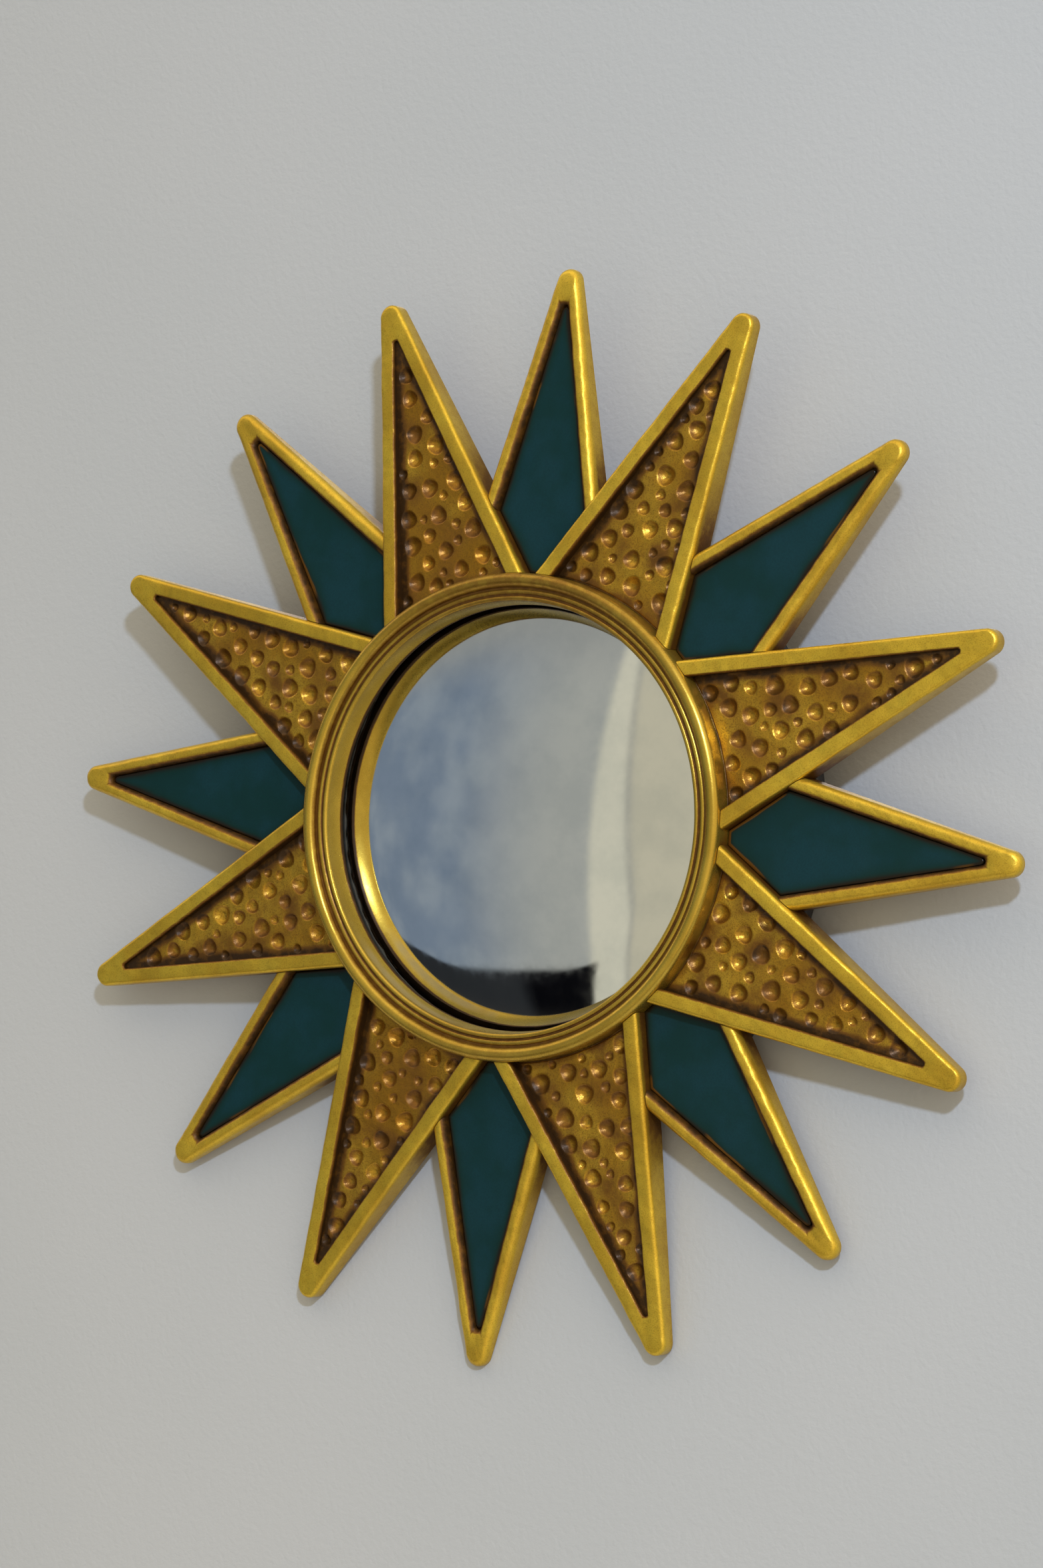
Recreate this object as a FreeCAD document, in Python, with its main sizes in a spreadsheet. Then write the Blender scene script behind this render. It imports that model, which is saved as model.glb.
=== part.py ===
# Sunburst wall mirror: a domed round glass in a turned gilded ring, with sixteen
# rays around it. Every other ray has a hammered floor; the ones between carry a
# teal pane. Everything is screwed from behind to a black disc, which hangs on a
# swinging wire loop.
#
# Frame: the origin is the centre of the disc's rear face. +Z is up, the front
# faces -Y, and +X is to the right as seen from the front. Millimetres.
import FreeCAD, Part
import math
import os
import re
import Sketcher

X_AXIS = FreeCAD.Vector(1, 0, 0)
Y_AXIS = FreeCAD.Vector(0, 1, 0)
Z_AXIS = FreeCAD.Vector(0, 0, 1)

# Driving dimensions: alias, value, what it is.
SIZES = [
    ("ray_pairs", 8, "hammered rays, and as many teal rays between them"),
    ("tip_reach", 300, "centre of the mirror to the tip of a ray"),
    ("fit_gap", 0.3, "gap between glued or seated pieces that don't share a flat face"),
    ("overrun", 5, "how far a cut runs past the material it removes"),
    # the disc that carries everything
    ("disc_margin", 47.5, "how far the disc reaches past the ring"),
    ("disc_thickness", 8, "back disc"),
    ("disc_edge_round", 1.2, "rounded front edge of the disc"),
    # the ring moulding, heights above the disc's front face
    ("ring_wall", 10, "wall of the ring beside the glass"),
    ("lip_cover", 5.5, "how far the lip covers the glass"),
    ("ring_rebate_depth", 8, "disc to the underside of the lip"),
    ("lip_edge", 1, "thickness of the lip at its inner edge"),
    ("outer_bead_radius", 3.9, "round of the outer bead"),
    ("outer_bead_height", 21.4, "centre of the outer bead"),
    ("outer_bead_width", 7.7, "outer bead, across"),
    ("outer_groove_height", 21.4, "floor of the groove beside the outer bead"),
    ("inner_groove_height", 21.6, "floor of the groove beside the inner bead"),
    ("outer_groove_width", 1.2, "groove beside the outer bead, across"),
    ("inner_groove_width", 0.8, "groove beside the inner bead, across"),
    ("reed_width", 2.7, "fine reed between the grooves"),
    ("reed_round", 1.6, "round of the reed"),
    ("inner_bead_round", 1.45, "round of the inner bead"),
    ("inner_bead_foot", 21.2, "where the inner bead meets the inner wall"),
    ("inner_wall_step", 1.3, "how far the inner wall leans out above the lip"),
    ("inner_wall_cove", 30, "hollow round of the inner wall"),
    # the glass and what is behind and beside it
    ("board_thickness", 1.6, "backing board"),
    ("board_inset", 0.5, "edge of the glass to the edge of the backing board"),
    ("glass_radius", 121.5, "edge of the domed glass"),
    ("glass_gap", 1, "edge of the glass to the wall of the ring"),
    ("glass_thickness", 3, "domed glass"),
    ("glass_curvature", 460, "radius of the glass's front face"),
    ("glass_seat", 1.5, "flat ground rim on the back of the glass"),
    ("putty_width", 3, "putty on the edge of the glass"),
    ("putty_height", 2.6, "putty up the wall of the ring"),
    ("putty_toe", 0.5, "putty at its inner edge"),
    ("putty_hollow", 5, "hollow face of the putty"),
    # hammered rays, thicknesses above the disc's front face
    ("root_gap", 8.35, "between two hammered rays where they meet the ring"),
    ("hammered_tip_radius", 6.8, "round of the tip seen from the front"),
    ("hammered_front_tip", 9, "ray at its tip"),
    ("hammered_front_root", 20.8, "ray at the ring"),
    ("hammered_floor_tip", 6.7, "floor of the recess, carried out to the tip"),
    ("hammered_floor_root", 13, "floor of the recess at the ring"),
    ("hammered_rim", 9, "width of the raised rim"),
    ("hammered_rim_round", 2, "rounded outer edge of the rim"),
    ("hammered_inner_round", 1.1, "rounded inner edge of the rim"),
    ("hammered_corner", 1.5, "round of the recess at its point"),
    # teal rays
    ("notch_depth", 46.3, "ring to the notch where a teal ray's side meets a hammered ray"),
    ("teal_tip_radius", 7, "round of the tip seen from the front"),
    ("teal_front_tip", 6.6, "ray at its tip"),
    ("teal_front_root", 18.3, "ray at the ring"),
    ("teal_floor_tip", 1.3, "floor under the pane, carried out to the tip"),
    ("teal_floor_root", 9.4, "floor under the pane at the ring"),
    ("teal_rim", 8.4, "width of the rim"),
    ("teal_rim_round", 3, "rounded outer edge of the rim"),
    ("teal_inner_round", 2.6, "rounded inner edge of the rim"),
    ("teal_corner", 2, "round of the recess at its point"),
    # teal panes
    ("pane_thickness", 2.4, "glass pane"),
    ("pane_gap", 0.4, "gap around a pane"),
    ("pane_bevel", 0.6, "polished front edge of a pane"),
    ("pane_corner", 1.6, "round of a pane's point"),
    # screws from behind
    ("ray_screw_inset", 19.5, "ring to the circle of ray screws"),
    ("screw_radius", 1.6, "screw shank"),
    ("screw_length", 11.6, "screw shank, under the head"),
    ("screw_point", 2, "pointed end of the shank"),
    ("screw_head_radius", 3.4, "screw head"),
    ("screw_head_height", 2.1, "screw head"),
    ("screw_crown_radius", 2.2, "flat crown of a screw head"),
    ("screw_crown_round", 2.6, "round from the crown to the seat"),
    ("screw_slot_width", 0.9, "driver slot"),
    ("screw_slot_depth", 0.9, "driver slot"),
    ("counterbore_radius", 3.9, "seat of a screw head in the disc"),
    ("counterbore_depth", 2.6, "seat of a screw head in the disc"),
    # wall bumpers
    ("bumper_inset", 14, "edge of the disc to the circle of bumpers"),
    ("bumper_radius", 7, "bumper"),
    ("bumper_thickness", 4, "bumper"),
    ("bumper_round", 0.8, "rounded rear edge of a bumper"),
    ("bumper_count", 4, "bumpers on the disc's back"),
    # hanger on the back
    ("hanger_drop", 64, "edge of the disc to the hanger's pivot"),
    ("strap_width", 12, "hanger strap"),
    ("strap_length", 24, "hanger strap below the pivot"),
    ("strap_thickness", 1.6, "hanger strap, two layers"),
    ("strap_corner", 3, "rounded lower corners of the strap"),
    ("knuckle_radius", 1.9, "outside of the strap's rolled knuckle"),
    ("knuckle_lift", 0.1, "knuckle to the back of the disc"),
    ("wire_radius", 1.1, "hanger ring wire"),
    ("wire_gap", 0.1, "wire to the bore of the knuckle"),
    ("loop_bar", 7.5, "half the straight bar of the hanger ring"),
    ("loop_corner", 1.8, "small bends of the hanger ring"),
    ("loop_leg", 2.5, "straight sides of the hanger ring"),
    ("strap_screw_first", 8, "pivot to the first strap screw"),
    ("strap_screw_spacing", 10, "between the two strap screws"),
    ("strap_screw_radius", 1.2, "strap screw shank"),
    ("strap_screw_length", 7.6, "strap screw under its head"),
    ("strap_screw_head", 2.8, "radius of the strap screw's head"),
    ("strap_screw_head_height", 1.5, "strap screw head"),
    ("strap_screw_dome", 3.2, "round of the strap screw's head"),
    ("strap_screw_point", 1.5, "pointed end of the strap screw"),
    ("flatness", 0.01, "how near a surface counts as on it"),
]

# Sizes that follow from the driving ones: alias, formula, what it is.
DERIVED = [
    ("half_pitch", "180 deg / ray_pairs", "angle from one ray to the next"),
    ("ring_rebate_radius", "glass_radius + glass_gap", "room behind the lip for the glass"),
    ("ring_lip_radius", "glass_radius - lip_cover", "clear opening in front of the glass"),
    ("ring_outer_radius", "ring_rebate_radius + ring_wall", "outer wall of the ring"),
    ("board_radius", "glass_radius - board_inset", "backing board"),
    ("disc_radius", "ring_outer_radius + disc_margin", "back disc"),
    ("root_radius", "ring_outer_radius + fit_gap", "inner end of the rays"),
    ("notch_radius", "ring_outer_radius + notch_depth", "notch between two rays"),
    ("ring_screw_circle", "ring_rebate_radius + ring_wall / 2", "circle of ring screws"),
    ("ray_screw_circle", "ring_outer_radius + ray_screw_inset", "circle of ray screws"),
    ("bumper_circle", "disc_radius - bumper_inset", "circle of bumpers"),
    ("hanger_height", "disc_radius - hanger_drop", "hanger pivot above the centre of the mirror"),
    ("root_angle", "half_pitch - asin(root_gap / 2 / root_radius)", "axis to a hammered ray's root corner"),
    ("root_across", "root_radius * sin(root_angle)", "hammered ray's root corner, across"),
    ("root_run", "tip_reach - hammered_tip_radius - root_radius * cos(root_angle)",
     "hammered ray's root corner to the centre of its tip, along"),
    ("hammered_half_angle",
     "atan(root_across / root_run) - asin(hammered_tip_radius / sqrt(root_across ^ 2 + root_run ^ 2))",
     "between a hammered ray's axis and its side"),
    ("hammered_reach",
     "(tip_reach - hammered_tip_radius) * sin(hammered_half_angle) + hammered_tip_radius",
     "mirror's centre to the line of a hammered ray's side"),
    ("wall_angle", "hammered_half_angle + half_pitch", "between a teal ray's axis and the hammered side"),
    ("notch_wall", "sqrt(notch_radius ^ 2 - (hammered_reach + fit_gap) ^ 2)", "run along the hammered side"),
    ("notch_across", "notch_wall * sin(wall_angle) - (hammered_reach + fit_gap) * cos(wall_angle)",
     "notch, across the teal ray"),
    ("notch_run", "tip_reach - teal_tip_radius - (hammered_reach + fit_gap) * sin(wall_angle)"
     " - notch_wall * cos(wall_angle)", "notch to the centre of the teal tip, along"),
    ("teal_half_angle",
     "atan(notch_across / notch_run) - asin(teal_tip_radius / sqrt(notch_across ^ 2 + notch_run ^ 2))",
     "between a teal ray's axis and its side"),
]

doc = FreeCAD.newDocument("SunburstMirror")
sheet = doc.addObject("Spreadsheet::Sheet", "Sizes")
cells = SIZES + [(alias, "=" + formula, note) for alias, formula, note in DERIVED]
for row, (alias, value, note) in enumerate(cells, start=1):
    sheet.set("A%d" % row, note)
    sheet.set("B%d" % row, str(value))
    sheet.setAlias("B%d" % row, alias)
doc.recompute()

aliases = {alias for alias, value, note in cells}
subparts = []


def linked(expression):
    """The expression with its sizes named as cells of the sheet."""
    return re.sub(r"[a-z_]+", lambda word: "Sizes." + word[0] if word[0] in aliases else word[0], expression)


def value_of(expression):
    """Number that an expression in the sheet's sizes gives."""
    result = sheet.evalExpression(linked(expression))
    return float(getattr(result, "Value", result))


def new_body(label, turn="0"):
    """Empty body, turned about the mirror's axis by a number of degrees."""
    body = doc.addObject("PartDesign::Body", label)
    body.Label = label
    if hasattr(body, "AllowCompound"):
        body.AllowCompound = True
    body.Placement = FreeCAD.Placement(FreeCAD.Vector(), FreeCAD.Rotation(Y_AXIS, value_of(turn)))
    subparts.append(body)
    return body


def origin_feature(body, role):
    """One of the body's own base planes or axes."""
    return next(item for item in body.Origin.OriginFeatures if item.Role == role)


def new_sketch(body, name, plane, lift="0", lean=None, shift="0"):
    """Sketch on a base plane, lifted along its normal, shifted along its own
    second axis, and leaned so that it falls along that axis by an angle."""
    sketch = body.newObject("Sketcher::SketchObject", name)
    sketch.AttachmentSupport = (origin_feature(body, plane), [""])
    sketch.MapMode = "FlatFace"
    angle = value_of(lean) if lean else 0
    base = FreeCAD.Vector(0, value_of(shift), value_of(lift))
    sketch.AttachmentOffset = FreeCAD.Placement(base, FreeCAD.Rotation(-X_AXIS, angle))
    if shift != "0":
        sketch.setExpression("AttachmentOffset.Base.y", linked(shift))
    if lift != "0":
        sketch.setExpression("AttachmentOffset.Base.z", linked(lift))
    if lean:
        sketch.setExpression("AttachmentOffset.Rotation.Angle", linked(lean))
    return sketch


def bind(sketch, constraint, expression):
    """Add a dimension to a sketch and bind it to the sheet."""
    index = sketch.addConstraint(constraint)
    sketch.setExpression("Constraints[%d]" % index, linked(expression))


def place_point(sketch, edge, end, across, along):
    """Hold a sketch point at its two coordinates, each an expression."""
    for kind, axis, expression in (("DistanceX", -2, across), ("DistanceY", -1, along)):
        number = value_of(expression)
        if number == 0:
            sketch.addConstraint(Sketcher.Constraint("PointOnObject", edge, end, axis))
        elif number > 0:
            bind(sketch, Sketcher.Constraint(kind, -1, 1, edge, end, number), expression)
        else:
            bind(sketch, Sketcher.Constraint(kind, edge, end, -1, 1, -number), "-(%s)" % expression)


def arc_between(start, end, radius, side):
    """Arc from start to end that bulges to the left (side 1) or right (-1)."""
    chord = end - start
    left = FreeCAD.Vector(-chord.y, chord.x, 0).normalize()
    rise = radius - math.sqrt(max(radius ** 2 - (chord.Length / 2) ** 2, 0))
    return Part.Arc(start, (start + end) / 2 + left * (side * rise), end)


def draw_outline(sketch, points, arcs=None, closed=True):
    """Line through points given as pairs of expressions. An entry of arcs bends
    the edge after that point: its radius, and the side it bulges to."""
    arcs = arcs or {}
    spots = [FreeCAD.Vector(value_of(across), value_of(along), 0) for across, along in points]
    edges = []
    starts = []
    for index in range(len(spots) if closed else len(spots) - 1):
        start, end = spots[index], spots[(index + 1) % len(spots)]
        if index in arcs:
            radius, side = arcs[index]
            edge = sketch.addGeometry(arc_between(start, end, value_of(radius), side))
        else:
            edge = sketch.addGeometry(Part.LineSegment(start, end))
        near = min((1, 2), key=lambda vertex: sketch.getPoint(edge, vertex).distanceToPoint(start))
        edges.append(edge)
        starts.append(near)
    for index in range(len(edges) if closed else len(edges) - 1):
        following = (index + 1) % len(edges)
        sketch.addConstraint(Sketcher.Constraint(
            "Coincident", edges[index], 3 - starts[index], edges[following], starts[following]))
    for index, (across, along) in enumerate(points):
        if index < len(edges):
            place_point(sketch, edges[index], starts[index], across, along)
        else:
            place_point(sketch, edges[-1], 3 - starts[-1], across, along)
    for index, (radius, side) in arcs.items():
        bind(sketch, Sketcher.Constraint("Radius", edges[index], value_of(radius)), radius)


def draw_circle(sketch, radius, across="0", along="0"):
    """Circle about a point given as two expressions."""
    centre = FreeCAD.Vector(value_of(across), value_of(along), 0)
    edge = sketch.addGeometry(Part.Circle(centre, Z_AXIS, value_of(radius)))
    place_point(sketch, edge, 3, across, along)
    bind(sketch, Sketcher.Constraint("Radius", edge, value_of(radius)), radius)


def pad(body, sketch, length, reverse=False, middle=False):
    """Solid that grows from a sketch."""
    feature = body.newObject("PartDesign::Pad", sketch.Name + "_pad")
    feature.Profile = sketch
    feature.Length = value_of(length)
    feature.setExpression("Length", linked(length))
    feature.Reversed = reverse
    feature.Midplane = middle
    doc.recompute()
    return feature


def volume_of(body):
    return body.Shape.Volume if not body.Shape.isNull() else 0


def pocket(body, sketch, depth=None, reverse=False):
    """Cut that starts at a sketch: a depth, or all the way if none is given."""
    before = volume_of(body)
    feature = body.newObject("PartDesign::Pocket", sketch.Name + "_cut")
    feature.Profile = sketch
    feature.Reversed = reverse
    if depth is None:
        feature.Type = "ThroughAll"
    else:
        feature.Length = value_of(depth)
        feature.setExpression("Length", linked(depth))
    doc.recompute()
    if volume_of(body) >= before:
        raise RuntimeError("%s removes nothing" % feature.Name)
    return feature


def revolve(body, sketch, axis):
    """Solid turned about one of the sketch's own axes."""
    feature = body.newObject("PartDesign::Revolution", sketch.Name + "_turned")
    feature.Profile = sketch
    feature.ReferenceAxis = (sketch, [axis])
    doc.recompute()
    return feature


def repeat_around(body, features, count):
    """Equal copies of features about the mirror's axis."""
    pattern = body.newObject("PartDesign::PolarPattern", features[0].Name + "_around")
    pattern.Originals = features
    pattern.Axis = (origin_feature(body, "Y_Axis"), [""])
    pattern.Occurrences = int(value_of(count))
    pattern.setExpression("Occurrences", linked(count))
    body.Tip = pattern
    doc.recompute()


def dress_edges(body, name, kind, size, chosen):
    """Fillet or chamfer on the edges that the test picks."""
    names = ["Edge%d" % number for number, edge in enumerate(body.Tip.Shape.Edges, start=1)
             if chosen(edge)]
    if not names:
        raise RuntimeError("%s finds no edge" % name)
    base = body.Tip
    measure = {"Fillet": "Radius", "Chamfer": "Size"}[kind]
    feature = body.newObject("PartDesign::" + kind, name)
    feature.Base = (base, names)
    setattr(feature, measure, value_of(size))
    feature.setExpression(measure, linked(size))
    body.Tip = feature
    doc.recompute()
    if "Invalid" in feature.State:
        raise RuntimeError("%s fails" % name)


def export_all():
    """Check every shape, then write one file per piece."""
    doc.recompute()
    for item in doc.Objects:
        if "Invalid" in item.State or "Error" in item.State:
            raise RuntimeError("%s didn't recompute: %s" % (item.Name, item.State))
    os.makedirs("parts", exist_ok=True)
    for body in subparts:
        if body.Shape.isNull() or not body.Shape.isValid():
            raise RuntimeError("%s has no valid shape" % body.Label)
        body.Shape.exportStep("parts/%s.step" % body.Label)


# Depths that several pieces share.
shank_in_wood = "(screw_length - disc_thickness + counterbore_depth)"
pivot_depth = "(knuckle_radius + knuckle_lift)"


def ray_apex(kind, inset="0"):
    """Where the sides of a ray would meet, with both sides moved in."""
    return "(tip_reach - {0}_tip_radius + ({0}_tip_radius - {1}) / sin({0}_half_angle))".format(kind, inset)


def slope(kind, surface):
    """Fall of a ray's front or floor towards the tip."""
    return "atan(({0}_{1}_root - {0}_{1}_tip) / (tip_reach - ring_outer_radius))".format(kind, surface)


def mirrored(points):
    """Right-hand points followed by their left-hand twins, in reverse."""
    return points + [("-(%s)" % across, along) for across, along in reversed(points)]


def tip_point(kind, inset, corner, origin="0"):
    """Where the round of a tip runs into the side."""
    along = "%s - %s / sin(%s_half_angle) + %s * sin(%s_half_angle) - %s" % (
        ray_apex(kind, inset), corner, kind, corner, kind, origin)
    return ("%s * cos(%s_half_angle)" % (corner, kind), along)


def between_hammered(inset, gap, inner_radius, origin="0"):
    """The two lower corners of a shape that lies between two hammered rays."""
    reach = "(hammered_reach + %s)" % gap
    apex = ray_apex("teal", inset)
    along = "((%s * tan(teal_half_angle) + %s / cos(wall_angle)) / (tan(wall_angle) + tan(teal_half_angle)))" % (
        apex, reach)
    side = ("(%s - %s) * tan(teal_half_angle)" % (apex, along), "%s - %s" % (along, origin))
    run = "sqrt(%s ^ 2 - %s ^ 2)" % (inner_radius, reach)
    root = ("%s * sin(wall_angle) - %s * cos(wall_angle)" % (run, reach),
            "%s * sin(wall_angle) + %s * cos(wall_angle) - %s" % (reach, run, origin))
    return [side, root]


def on_front(edge, kind):
    """True for an edge that lies in a ray's sloping front."""
    drop = (value_of("%s_front_root" % kind) - value_of("%s_front_tip" % kind)) / \
        (value_of("tip_reach") - value_of("ring_outer_radius"))
    tip = value_of("disc_thickness + %s_front_tip" % kind)
    for share in (0, 0.5, 1):
        spot = edge.valueAt(edge.FirstParameter + share * (edge.LastParameter - edge.FirstParameter))
        if abs(-spot.y - tip - drop * (value_of("tip_reach") - spot.z)) > value_of("flatness"):
            return False
    return True


def depth_inside(edge, kind):
    """How far an edge's middle lies inside a ray's nearer side."""
    spot = edge.valueAt((edge.FirstParameter + edge.LastParameter) / 2)
    angle = math.radians(value_of("%s_half_angle" % kind))
    return (value_of(ray_apex(kind)) - spot.z) * math.sin(angle) - abs(spot.x) * math.cos(angle)


def is_outer(edge, kind):
    """True for the round of a ray's tip and for an edge along its side."""
    spot = edge.valueAt((edge.FirstParameter + edge.LastParameter) / 2)
    beyond = value_of("tip_reach - %s_tip_radius" % kind)
    return spot.z > beyond or abs(depth_inside(edge, kind)) < value_of("flatness")


def ray(label, kind, turn, outline, arcs):
    """Ray: an outline with a sloping front, a recess, rounded rims and a pilot hole."""
    body = new_body(label, turn)
    sketch = new_sketch(body, label + "_outline", "XZ_Plane", "disc_thickness")
    draw_outline(sketch, outline, arcs)
    pad(body, sketch, "%s_front_root + overrun" % kind)
    front = new_sketch(body, label + "_front", "XZ_Plane", "disc_thickness + %s_front_tip" % kind,
                       slope(kind, "front"), "tip_reach")
    width = "tip_reach * tan(%s_half_angle)" % kind
    draw_outline(front, mirrored([(width, "overrun"), (width, "-tip_reach")]))
    pocket(body, front, reverse=True)
    dress_edges(body, label + "_outer_round", "Fillet", "%s_rim_round" % kind,
                lambda edge: on_front(edge, kind) and is_outer(edge, kind))
    floor = new_sketch(body, label + "_floor", "XZ_Plane", "disc_thickness + %s_floor_tip" % kind,
                       slope(kind, "floor"), "tip_reach")
    rim, corner = kind + "_rim", kind + "_corner"
    end = "(ring_lip_radius - tip_reach)"
    base = ("(%s - tip_reach - %s) * tan(%s_half_angle)" % (ray_apex(kind, rim), end, kind), end)
    draw_outline(floor, mirrored([tip_point(kind, rim, corner, "tip_reach"), base]), {3: (corner, 1)})
    pocket(body, floor, reverse=True)
    inside = value_of(rim) - value_of("%s_inner_round" % kind) / 2
    dress_edges(body, label + "_inner_round", "Fillet", "%s_inner_round" % kind,
                lambda edge: on_front(edge, kind) and depth_inside(edge, kind) > inside)
    hole = new_sketch(body, label + "_pilot", "XZ_Plane", "disc_thickness")
    draw_circle(hole, "screw_radius + fit_gap", along="ray_screw_circle")
    pocket(body, hole, shank_in_wood + " + fit_gap", reverse=True)
    return body


def pane(label, turn):
    """Glass pane lying on the sloping floor of a teal ray."""
    body = new_body(label, turn)
    sketch = new_sketch(body, label + "_outline", "XZ_Plane", "disc_thickness + teal_floor_tip",
                        slope("teal", "floor"), "tip_reach")
    inset = "(teal_rim + pane_gap)"
    inner_radius = "(ring_outer_radius + pane_gap)"
    points = [tip_point("teal", inset, "pane_corner", "tip_reach")]
    points += between_hammered(inset, "pane_gap", inner_radius, "tip_reach")
    draw_outline(sketch, mirrored(points), {2: (inner_radius, -1), 5: ("pane_corner", 1)})
    pad(body, sketch, "pane_thickness")
    top = min(body.Tip.Shape.Faces, key=lambda face: face.normalAt(0, 0).y)
    rim = [edge.hashCode() for edge in top.Edges]
    dress_edges(body, label + "_polish", "Chamfer", "pane_bevel", lambda edge: edge.hashCode() in rim)
    return body


def turned_section(body, name, points, arcs=None):
    """Section of a turned piece: distance from the axis, height above the disc."""
    sketch = new_sketch(body, name, "XY_Plane")
    draw_outline(sketch, [(out, "-(disc_thickness + %s)" % up) for out, up in points], arcs)
    return revolve(body, sketch, "V_Axis")


def pan_head_screws(label, turn, circle, count):
    """Pan-head screws in a circle, driven from the back."""
    body = new_body(label, turn)
    sketch = new_sketch(body, label + "_section", "YZ_Plane", shift=circle)
    seat = "-counterbore_depth"
    end = "-(counterbore_depth + screw_length)"
    crown = "-(counterbore_depth - screw_head_height)"
    draw_outline(sketch, [
        (crown, "0"),
        (crown, "screw_crown_radius"),
        (seat, "screw_head_radius"),
        (seat, "screw_radius"),
        ("%s + screw_point" % end, "screw_radius"),
        (end, "0"),
    ], {1: ("screw_crown_round", -1)})
    turned = revolve(body, sketch, "H_Axis")
    slot = new_sketch(body, label + "_slot", "XZ_Plane", "counterbore_depth - screw_head_height", shift=circle)
    draw_outline(slot, mirrored([("screw_slot_width / 2", "screw_head_radius"),
                                 ("screw_slot_width / 2", "-screw_head_radius")]))
    cut = pocket(body, slot, "screw_slot_depth", reverse=True)
    repeat_around(body, [turned, cut], count)


# The disc, with its screw seats and the pilot holes of the hanger.
disc = new_body("back_disc")
sketch = new_sketch(disc, "disc_outline", "XZ_Plane")
draw_circle(sketch, "disc_radius")
pad(disc, sketch, "disc_thickness")
front_face = value_of("flatness - disc_thickness")
dress_edges(disc, "disc_edge", "Fillet", "disc_edge_round", lambda edge: edge.CenterOfMass.y < front_face)
for name, circle, turned, count in (
        ("ray_seat", "ray_screw_circle", "0", "2 * ray_pairs"),
        ("ring_seat", "ring_screw_circle", "half_pitch", "ray_pairs")):
    across, along = "%s * sin(%s)" % (circle, turned), "%s * cos(%s)" % (circle, turned)
    sketch = new_sketch(disc, name + "_hole", "XZ_Plane")
    draw_circle(sketch, "screw_radius + fit_gap", across, along)
    hole = pocket(disc, sketch, reverse=True)
    sketch = new_sketch(disc, name + "_bore", "XZ_Plane")
    draw_circle(sketch, "counterbore_radius", across, along)
    bore = pocket(disc, sketch, "counterbore_depth", reverse=True)
    repeat_around(disc, [hole, bore], count)
for number, drop in enumerate(("strap_screw_first", "strap_screw_first + strap_screw_spacing"), start=1):
    sketch = new_sketch(disc, "hanger_pilot_%d" % number, "XZ_Plane")
    draw_circle(sketch, "strap_screw_radius + fit_gap", along="hanger_height - (%s)" % drop)
    pocket(disc, sketch, "strap_screw_length - strap_thickness + fit_gap", reverse=True)

# The turned ring, up its outer wall, over both beads and down to the lip.
ring = new_body("ring_moulding")
bead_edge = "(ring_outer_radius - outer_bead_width)"
reed_edge = "(%s - outer_groove_width)" % bead_edge
bead_end = "outer_bead_height + sqrt(outer_bead_radius ^ 2 - (outer_bead_width - outer_bead_radius) ^ 2)"
turned_section(ring, "ring_section", [
    ("ring_outer_radius", "0"),
    ("ring_outer_radius", "outer_bead_height"),
    (bead_edge, "(%s)" % bead_end),
    (bead_edge, "outer_groove_height"),
    (reed_edge, "outer_groove_height"),
    ("%s - reed_width" % reed_edge, "inner_groove_height"),
    ("%s - reed_width - inner_groove_width" % reed_edge, "inner_groove_height"),
    ("ring_lip_radius + inner_wall_step", "inner_bead_foot"),
    ("ring_lip_radius", "(ring_rebate_depth + lip_edge)"),
    ("ring_lip_radius", "ring_rebate_depth"),
    ("ring_rebate_radius", "ring_rebate_depth"),
    ("ring_rebate_radius", "0"),
], {1: ("outer_bead_radius", 1), 4: ("reed_round", 1), 6: ("inner_bead_round", 1),
    7: ("inner_wall_cove", -1)})
sketch = new_sketch(ring, "ring_pilot", "XZ_Plane", "disc_thickness")
draw_circle(sketch, "screw_radius + fit_gap", "ring_screw_circle * sin(half_pitch)",
            "ring_screw_circle * cos(half_pitch)")
hole = pocket(ring, sketch, shank_in_wood + " + fit_gap", reverse=True)
repeat_around(ring, [hole], "ray_pairs")

# The board behind the glass, the domed glass with a flat ground rim, and its putty.
board = new_body("backing_board")
sketch = new_sketch(board, "board_outline", "XZ_Plane", "disc_thickness")
draw_circle(sketch, "board_radius")
pad(board, sketch, "board_thickness")

glass = new_body("mirror_glass")
back_curve = "(glass_curvature - glass_thickness)"
seat_radius = "(glass_radius - glass_seat)"
back_rise = "(board_thickness + %s - sqrt(%s ^ 2 - %s ^ 2))" % (back_curve, back_curve, seat_radius)


def glass_front(radius):
    """Height of the glass's front at a distance from the axis."""
    return "(%s + glass_thickness - glass_curvature + sqrt(glass_curvature ^ 2 - %s ^ 2))" % (
        back_rise, radius)


turned_section(glass, "glass_section", [
    ("0", glass_front("0")),
    ("0", back_rise),
    (seat_radius, "board_thickness"),
    ("glass_radius", "board_thickness"),
    ("glass_radius", glass_front("glass_radius")),
], {1: (back_curve, -1), 4: ("glass_curvature", 1)})

putty = new_body("glazing_putty")
putty_outside = "(ring_rebate_radius - fit_gap)"
putty_inside = "(%s - putty_width)" % putty_outside
turned_section(putty, "putty_section", [
    (putty_outside, "(%s + fit_gap)" % glass_front(putty_outside)),
    (putty_outside, "(%s + fit_gap + putty_height)" % glass_front(putty_outside)),
    (putty_inside, "(%s + fit_gap + putty_toe)" % glass_front(putty_inside)),
    (putty_inside, "(%s + fit_gap)" % glass_front(putty_inside)),
], {1: ("putty_hollow", -1)})

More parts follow.
